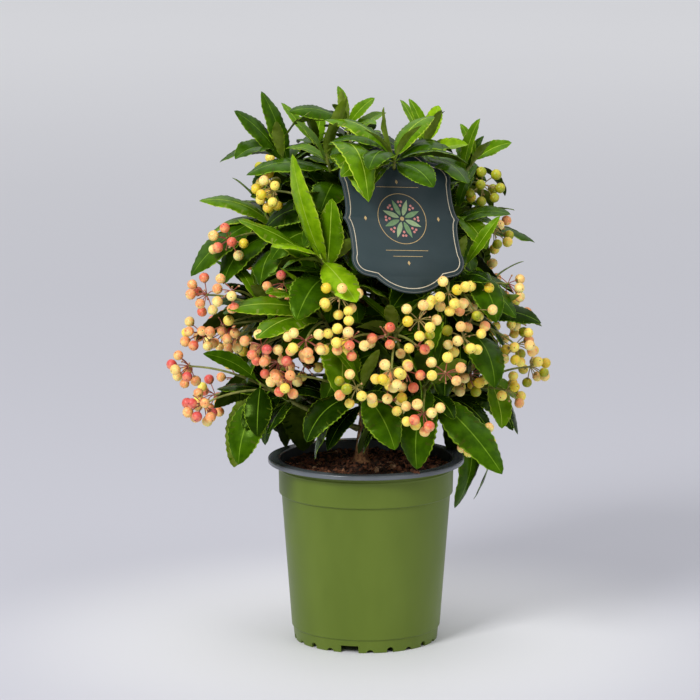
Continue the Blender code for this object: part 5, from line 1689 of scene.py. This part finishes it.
def ripeness(end):
    """From 0, lime, to 1, pink: riper on the plant's left and at its back, and greener high up."""
    ripe = 0.50 - 1.3 * end.x + 0.8 * max(0.0, end.y) - 9.0 * max(0.0, end.z - 0.265)
    ripe -= 3.4 * max(0.0, 0.190 - end.z) if end.x < 0 else 0.0
    return min(0.90, max(0.10, ripe))


# %% Bunches
FALLEN_SHARE = 0.20
KEPT_BERRIES = 6


def add_placed(made, shape, centre, facing, radius, slot=0):
    """Add a unit shape at a place, turned and scaled."""
    points, faces = shape
    made.add([centre + facing @ (point * radius) for point in points], faces, slot)


def arched(start, end, sag, steps):
    """A line from start to end that arches up on its way by a sag."""
    middle = start.lerp(end, 0.5) + Vector((0, 0, sag))
    return [bezier(start, middle, end, i / steps) for i in range(steps + 1)]


def build_bunches():
    """Stalks, knobs, thin stalks, berries, specks and sepals of every bunch."""
    berries = {name: Gathered() for name, _ in BERRY_FINISHES}
    trims = Gathered()
    twigs = leafy_stems
    for shoot in SHOOTS:
        rng = random.Random("bunches of " + shoot.name)
        for stalk, centres in grown[shoot.name][1]:
            end = stalk[-1]
            ripe = ripeness(end) + rng.gauss(0, 0.07)
            line = [bezier(stalk[0], 2 * stalk[1].lerp(stalk[2], 0.5) - stalk[0].lerp(end, 0.5), end, i / 9)
                    for i in range(10)]
            twigs.add(*tube(line, [STALK_RADIUS * (1.15 - 0.35 * i / 9) for i in range(10)], 7), slot=0)
            twigs.add(*lump(end, 0.0013, rng), slot=0)
            red = 1 if ripe > 0.42 else 2
            for count, centre in enumerate(centres):
                direction = (centre - end).normalized()
                if count % KEPT_BERRIES and rng.random() < FALLEN_SHARE:
                    bare = end + direction * PEDICEL * rng.uniform(0.45, 0.8)
                    twigs.add(*tube(arched(end, bare, 0.0008, 3), [PEDICEL_RADIUS * 0.8] * 4, 5), slot=red)
                    twigs.add(*lump(bare, 0.0008, rng), slot=3)
                    continue
                thin = arched(end, centre - direction * BERRY_RADIUS * 0.93, rng.uniform(0.0004, 0.0018), 5)
                twigs.add(*tube(thin, [PEDICEL_RADIUS * (0.8 + 0.15 * i / 5) for i in range(6)], 5), slot=red)
                facing = Vector((0, 0, 1)).rotation_difference(centre - thin[-2]).to_matrix()
                level = min(6, max(0, round(7 * (ripe + rng.gauss(0, 0.15)) - 0.5)))
                radius = BERRY_RADIUS * rng.uniform(0.90, 1.0)
                made = berries[BERRY_FINISHES[level][0]]
                add_placed(made, (BERRY_SHAPE.points, BERRY_SHAPE.faces), centre, facing, radius)
                add_placed(trims, SPECK_SHAPE, centre, facing, radius, 0)
                add_placed(trims, SEPAL_SHAPE, centre, facing, radius, 1)
            for _ in range(rng.randint(0, 3)):
                spoke = heading(rng.uniform(0, 360), rng.uniform(-50, 60))
                bare = end + spoke * PEDICEL * rng.uniform(0.4, 0.75)
                twigs.add(*tube(arched(end, bare, 0.0008, 3), [PEDICEL_RADIUS * 0.8] * 4, 5), slot=red)
                twigs.add(*lump(bare, 0.0007, rng), slot=3)
    for name, material in BERRY_FINISHES:
        berries[name].piece("berries_" + name, [material], "foliage", MASS_NODES, sharp=60)
    trims.piece("berry_trims", [
        speckled("berry_speck", rgb(70, 42, 30), rgb(112, 66, 44), 900, 0.8, 0.00004),
        speckled("berry_sepal", rgb(120, 104, 48), rgb(156, 130, 70), 900, 0.7, 0.00004),
    ], "foliage", MASS_NODES, sharp=30)
    twigs.piece("twigs_and_stalks", [
        speckled("twig_green", rgb(104, 112, 46), rgb(140, 142, 68), 300, 0.5, 0.00008),
        speckled("stalk_red", rgb(138, 66, 52), rgb(176, 98, 74), 400, 0.5, 0.00006),
        speckled("stalk_olive", rgb(134, 122, 58), rgb(166, 146, 84), 400, 0.5, 0.00006),
        speckled("stalk_scar", rgb(168, 124, 78), rgb(196, 154, 106), 800, 0.8, 0.00006),
    ], "foliage", MASS_NODES, sharp=50)


build_bunches()


# %% [markdown]
# The label is printed card, die-cut to a fancy outline. Its edge is slightly rounded, so that it
# catches light, and the print is built as very thin raised shapes, which stay sharp at any distance
# and keep their own plain colours. A thin pale grey band just inside the edge is a painted highlight
# of the edge, built the same way. The design is a plain botanical one of our own.

# %% Label shapes
EDGE_ROUND = 0.00014
PRINT_RAISE = 0.00004
FINE_LOBE_STEPS = 22
FINE_BULGE_STEPS = 16
CUSP_STEPS = 6
# The first band is a painted highlight of the card's edge; the second is the printed cream frame.
HIGHLIGHT_AND_FRAME_LINES = ((0.0006, 0.0009), (0.0030, 0.0035))


def fine_outline():
    """The plate's edge, all the way round, in small steps with curved sides to its cusps."""
    right = []
    for i in range(FINE_LOBE_STEPS + 1):
        turn = math.radians(-90 + LOBE_HALF_ANGLE * i / FINE_LOBE_STEPS)
        right.append((LOBE_RADIUS * math.cos(turn),
                      LOBE_RADIUS - LABEL_HALF_HEIGHT + LOBE_RADIUS * math.sin(turn)))
    for i in range(FINE_BULGE_STEPS + 1):
        turn = math.radians(BULGE_START + BULGE_ANGLE * i / FINE_BULGE_STEPS)
        right.append((BULGE_RIGHT + BULGE_RADIUS * math.cos(turn),
                      -BULGE_DOWN + BULGE_RADIUS * math.sin(turn)))
    start = Vector((right[-1][0], right[-1][1]))
    for i in range(1, CUSP_STEPS + 1):
        spot = bezier(start, Vector((LABEL_WAIST, -WAIST_TOP / 2)), Vector((LABEL_HALF_WIDTH, 0)),
                      i / CUSP_STEPS)
        right.append((spot.x, spot.y))
    right += [(x, -y) for x, y in reversed(right[:-1])]
    return [Vector(spot) for spot in right + [(-x, y) for x, y in reversed(right[1:-1])]]


def inset(loop, amount):
    """A loop moved inwards by an even amount."""
    moved = []
    for i, spot in enumerate(loop):
        before = (spot - loop[i - 1]).normalized()
        after = (loop[(i + 1) % len(loop)] - spot).normalized()
        inward = (before.orthogonal() + after.orthogonal()).normalized()
        square = max(0.45, inward.dot(after.orthogonal()))
        moved.append(spot + inward * amount / square)
    return moved


def circle_loop(x, y, radius, steps=24):
    """A flat round loop."""
    turns = [2 * math.pi * i / steps for i in range(steps)]
    return [Vector((x + radius * math.cos(turn), y + radius * math.sin(turn))) for turn in turns]


class Print:
    """Flat shapes on the label's face, in its own two directions."""

    def __init__(self):
        self.made = Gathered()
        self.axes = Matrix(label_axes()).transposed()

    def place(self, spot, height):
        return LABEL_MIDDLE + self.axes @ Vector((spot.x, spot.y, height))

    def levels(self, loops_and_heights):
        return [[self.place(spot, height) for spot in loop] for loop, height in loops_and_heights]

    def shape(self, loop, slot):
        """A filled shape."""
        face = LABEL_THICKNESS / 2
        rows = self.levels([(loop, face - PRINT_RAISE), (loop, face + PRINT_RAISE)])
        count = len(loop)
        faces = skin(rows) + [tuple(range(count))[::-1], tuple(range(count, 2 * count))]
        self.made.add(rows[0] + rows[1], faces, slot)

    def line(self, outer, inner, slot):
        """A band between two loops of as many points."""
        face = LABEL_THICKNESS / 2
        rows = self.levels([(inner, face - PRINT_RAISE), (outer, face - PRINT_RAISE),
                            (outer, face + PRINT_RAISE), (inner, face + PRINT_RAISE),
                            (inner, face - PRINT_RAISE)])
        count = len(outer)
        faces = [tuple(i % (4 * count) for i in quad) for quad in skin(rows)]
        self.made.add([point for row in rows[:4] for point in row], faces, slot)


def slim_leaf(x, y, turn, length, width):
    """The loop of a slim pointed leaf that starts at a spot."""
    along = Vector((math.cos(turn), math.sin(turn)))
    side = Vector((-along.y, along.x))
    shares = [i / 8 for i in range(9)]
    edge = [(share, width / 2 * math.sin(math.pi * share ** 0.8)) for share in shares]
    right = [along * length * share - side * half for share, half in edge]
    left = [along * length * share + side * half for share, half in reversed(edge[1:-1])]
    return [Vector((x, y)) + spot for spot in right + left]


# %% Label plate
def build_plate(outline):
    """The card itself with its rounded edge and its eye."""
    card, shader, place = finish("slate_card", rgb(45, 59, 61), 0.5, Specular_IOR_Level=0.25)
    feed(shader, "Base Color", cloud(place, 60.0).paint(rgb(41, 55, 57), rgb(49, 63, 65)))
    feed(shader, "Roughness", 0.38 + 0.12 * cloud(place, 400.0))
    bump(shader, cloud(place, 2500.0), 0.12, 0.00005)
    plate = Print()
    half = LABEL_THICKNESS / 2
    eye = circle_loop(0, LABEL_EYE_UP, LABEL_EYE_RADIUS, 32)
    steps = ((EDGE_ROUND, -half), (0.0, EDGE_ROUND - half), (0.0, half - EDGE_ROUND), (EDGE_ROUND, half))
    outer = [(inset(outline, amount), height) for amount, height in steps]
    hole = [(inset(eye, -amount), height) for amount, height in steps]
    outer_rows = plate.levels(outer)
    hole_rows = plate.levels(hole)
    points = [point for row in outer_rows + hole_rows for point in row]
    faces = skin(outer_rows)
    shift = 4 * len(outline)
    faces += [tuple(shift + i for i in reversed(quad)) for quad in skin(hole_rows)]
    flat = geometry.tessellate_polygon([[spot.to_3d() for spot in outer[0][0]],
                                        [spot.to_3d() for spot in hole[0][0]]])
    for level in (0, 3):
        for triangle in flat:
            corners = [i + level * len(outline) if i < len(outline)
                       else shift + i - len(outline) + level * len(eye) for i in triangle]
            flat_points = [points[i] for i in corners]
            up = (flat_points[1] - flat_points[0]).cross(flat_points[2] - flat_points[0])
            front_facing = up.dot(label_axes()[2]) > 0
            faces.append(tuple(corners if front_facing == (level == 3) else reversed(corners)))
    plate.made.add(points, faces)
    plate.made.piece("label_card", [card], "label_card", ["label_plate"], sharp=50)


def build_print(outline):
    """A painted highlight along the edge, a cream frame line and a plain rosette of leaves and berries
    between two rules.
    """
    design = Print()
    highlight_band, inner_line = HIGHLIGHT_AND_FRAME_LINES
    # A painted highlight of the card's rounded edge, as a thin pale band.
    design.line(inset(outline, highlight_band[0]), inset(outline, highlight_band[1]), 0)
    design.line(inset(outline, inner_line[0]), inset(outline, inner_line[1]), 1)
    design.line(circle_loop(0, 0, 0.0172, 72), circle_loop(0, 0, 0.0168, 72), 2)
    for i in range(8):
        turn = math.pi * i / 4 + math.pi / 8
        design.shape(slim_leaf(0.0022 * math.cos(turn), 0.0022 * math.sin(turn), turn, 0.0118, 0.0034),
                     3 + i % 2)
    for i in range(8):
        turn = math.pi * i / 4
        for away, around in ((0.0090, 0.0), (0.0115, 0.09), (0.0115, -0.09)):
            design.shape(circle_loop(away * math.cos(turn + around), away * math.sin(turn + around),
                                     0.00085, 14), 5)
    design.shape(circle_loop(0, 0, 0.0014, 20), 2)
    for up in (0.0215, -0.0215, -0.0255):
        half = 0.0150 if abs(up) < 0.022 else 0.0105
        design.shape([Vector((-half, up - 0.00015)), Vector((half, up - 0.00015)),
                      Vector((half, up + 0.00015)), Vector((-half, up + 0.00015))], 2)
    for x, y in ((0, -0.0300), (0, 0.0250), (-0.026, 0), (0.026, 0)):
        design.shape([Vector((x - 0.0010, y)), Vector((x, y - 0.0016)),
                      Vector((x + 0.0010, y)), Vector((x, y + 0.0016))], 2)
    # The first ink is the painted highlight of the edge; the others are print.
    inks = (("edge_line", rgb(96, 96, 92), rgb(112, 108, 100)),
            ("cream_line", rgb(196, 182, 154), rgb(208, 196, 168)),
            ("gold_ink", rgb(178, 148, 92), rgb(196, 168, 112)),
            ("leaf_ink", rgb(98, 132, 84), rgb(112, 146, 96)),
            ("pale_leaf_ink", rgb(136, 160, 112), rgb(150, 172, 124)),
            ("pink_ink", rgb(196, 120, 112), rgb(210, 136, 126)))
    finishes = [speckled(name, dark, pale, 500, 0.4, 0.00002) for name, dark, pale in inks]
    design.made.piece("label_print", finishes, "label_card", ["label_plate"], sharp=30)


label_edge = fine_outline()
build_plate(label_edge)
build_print(label_edge)
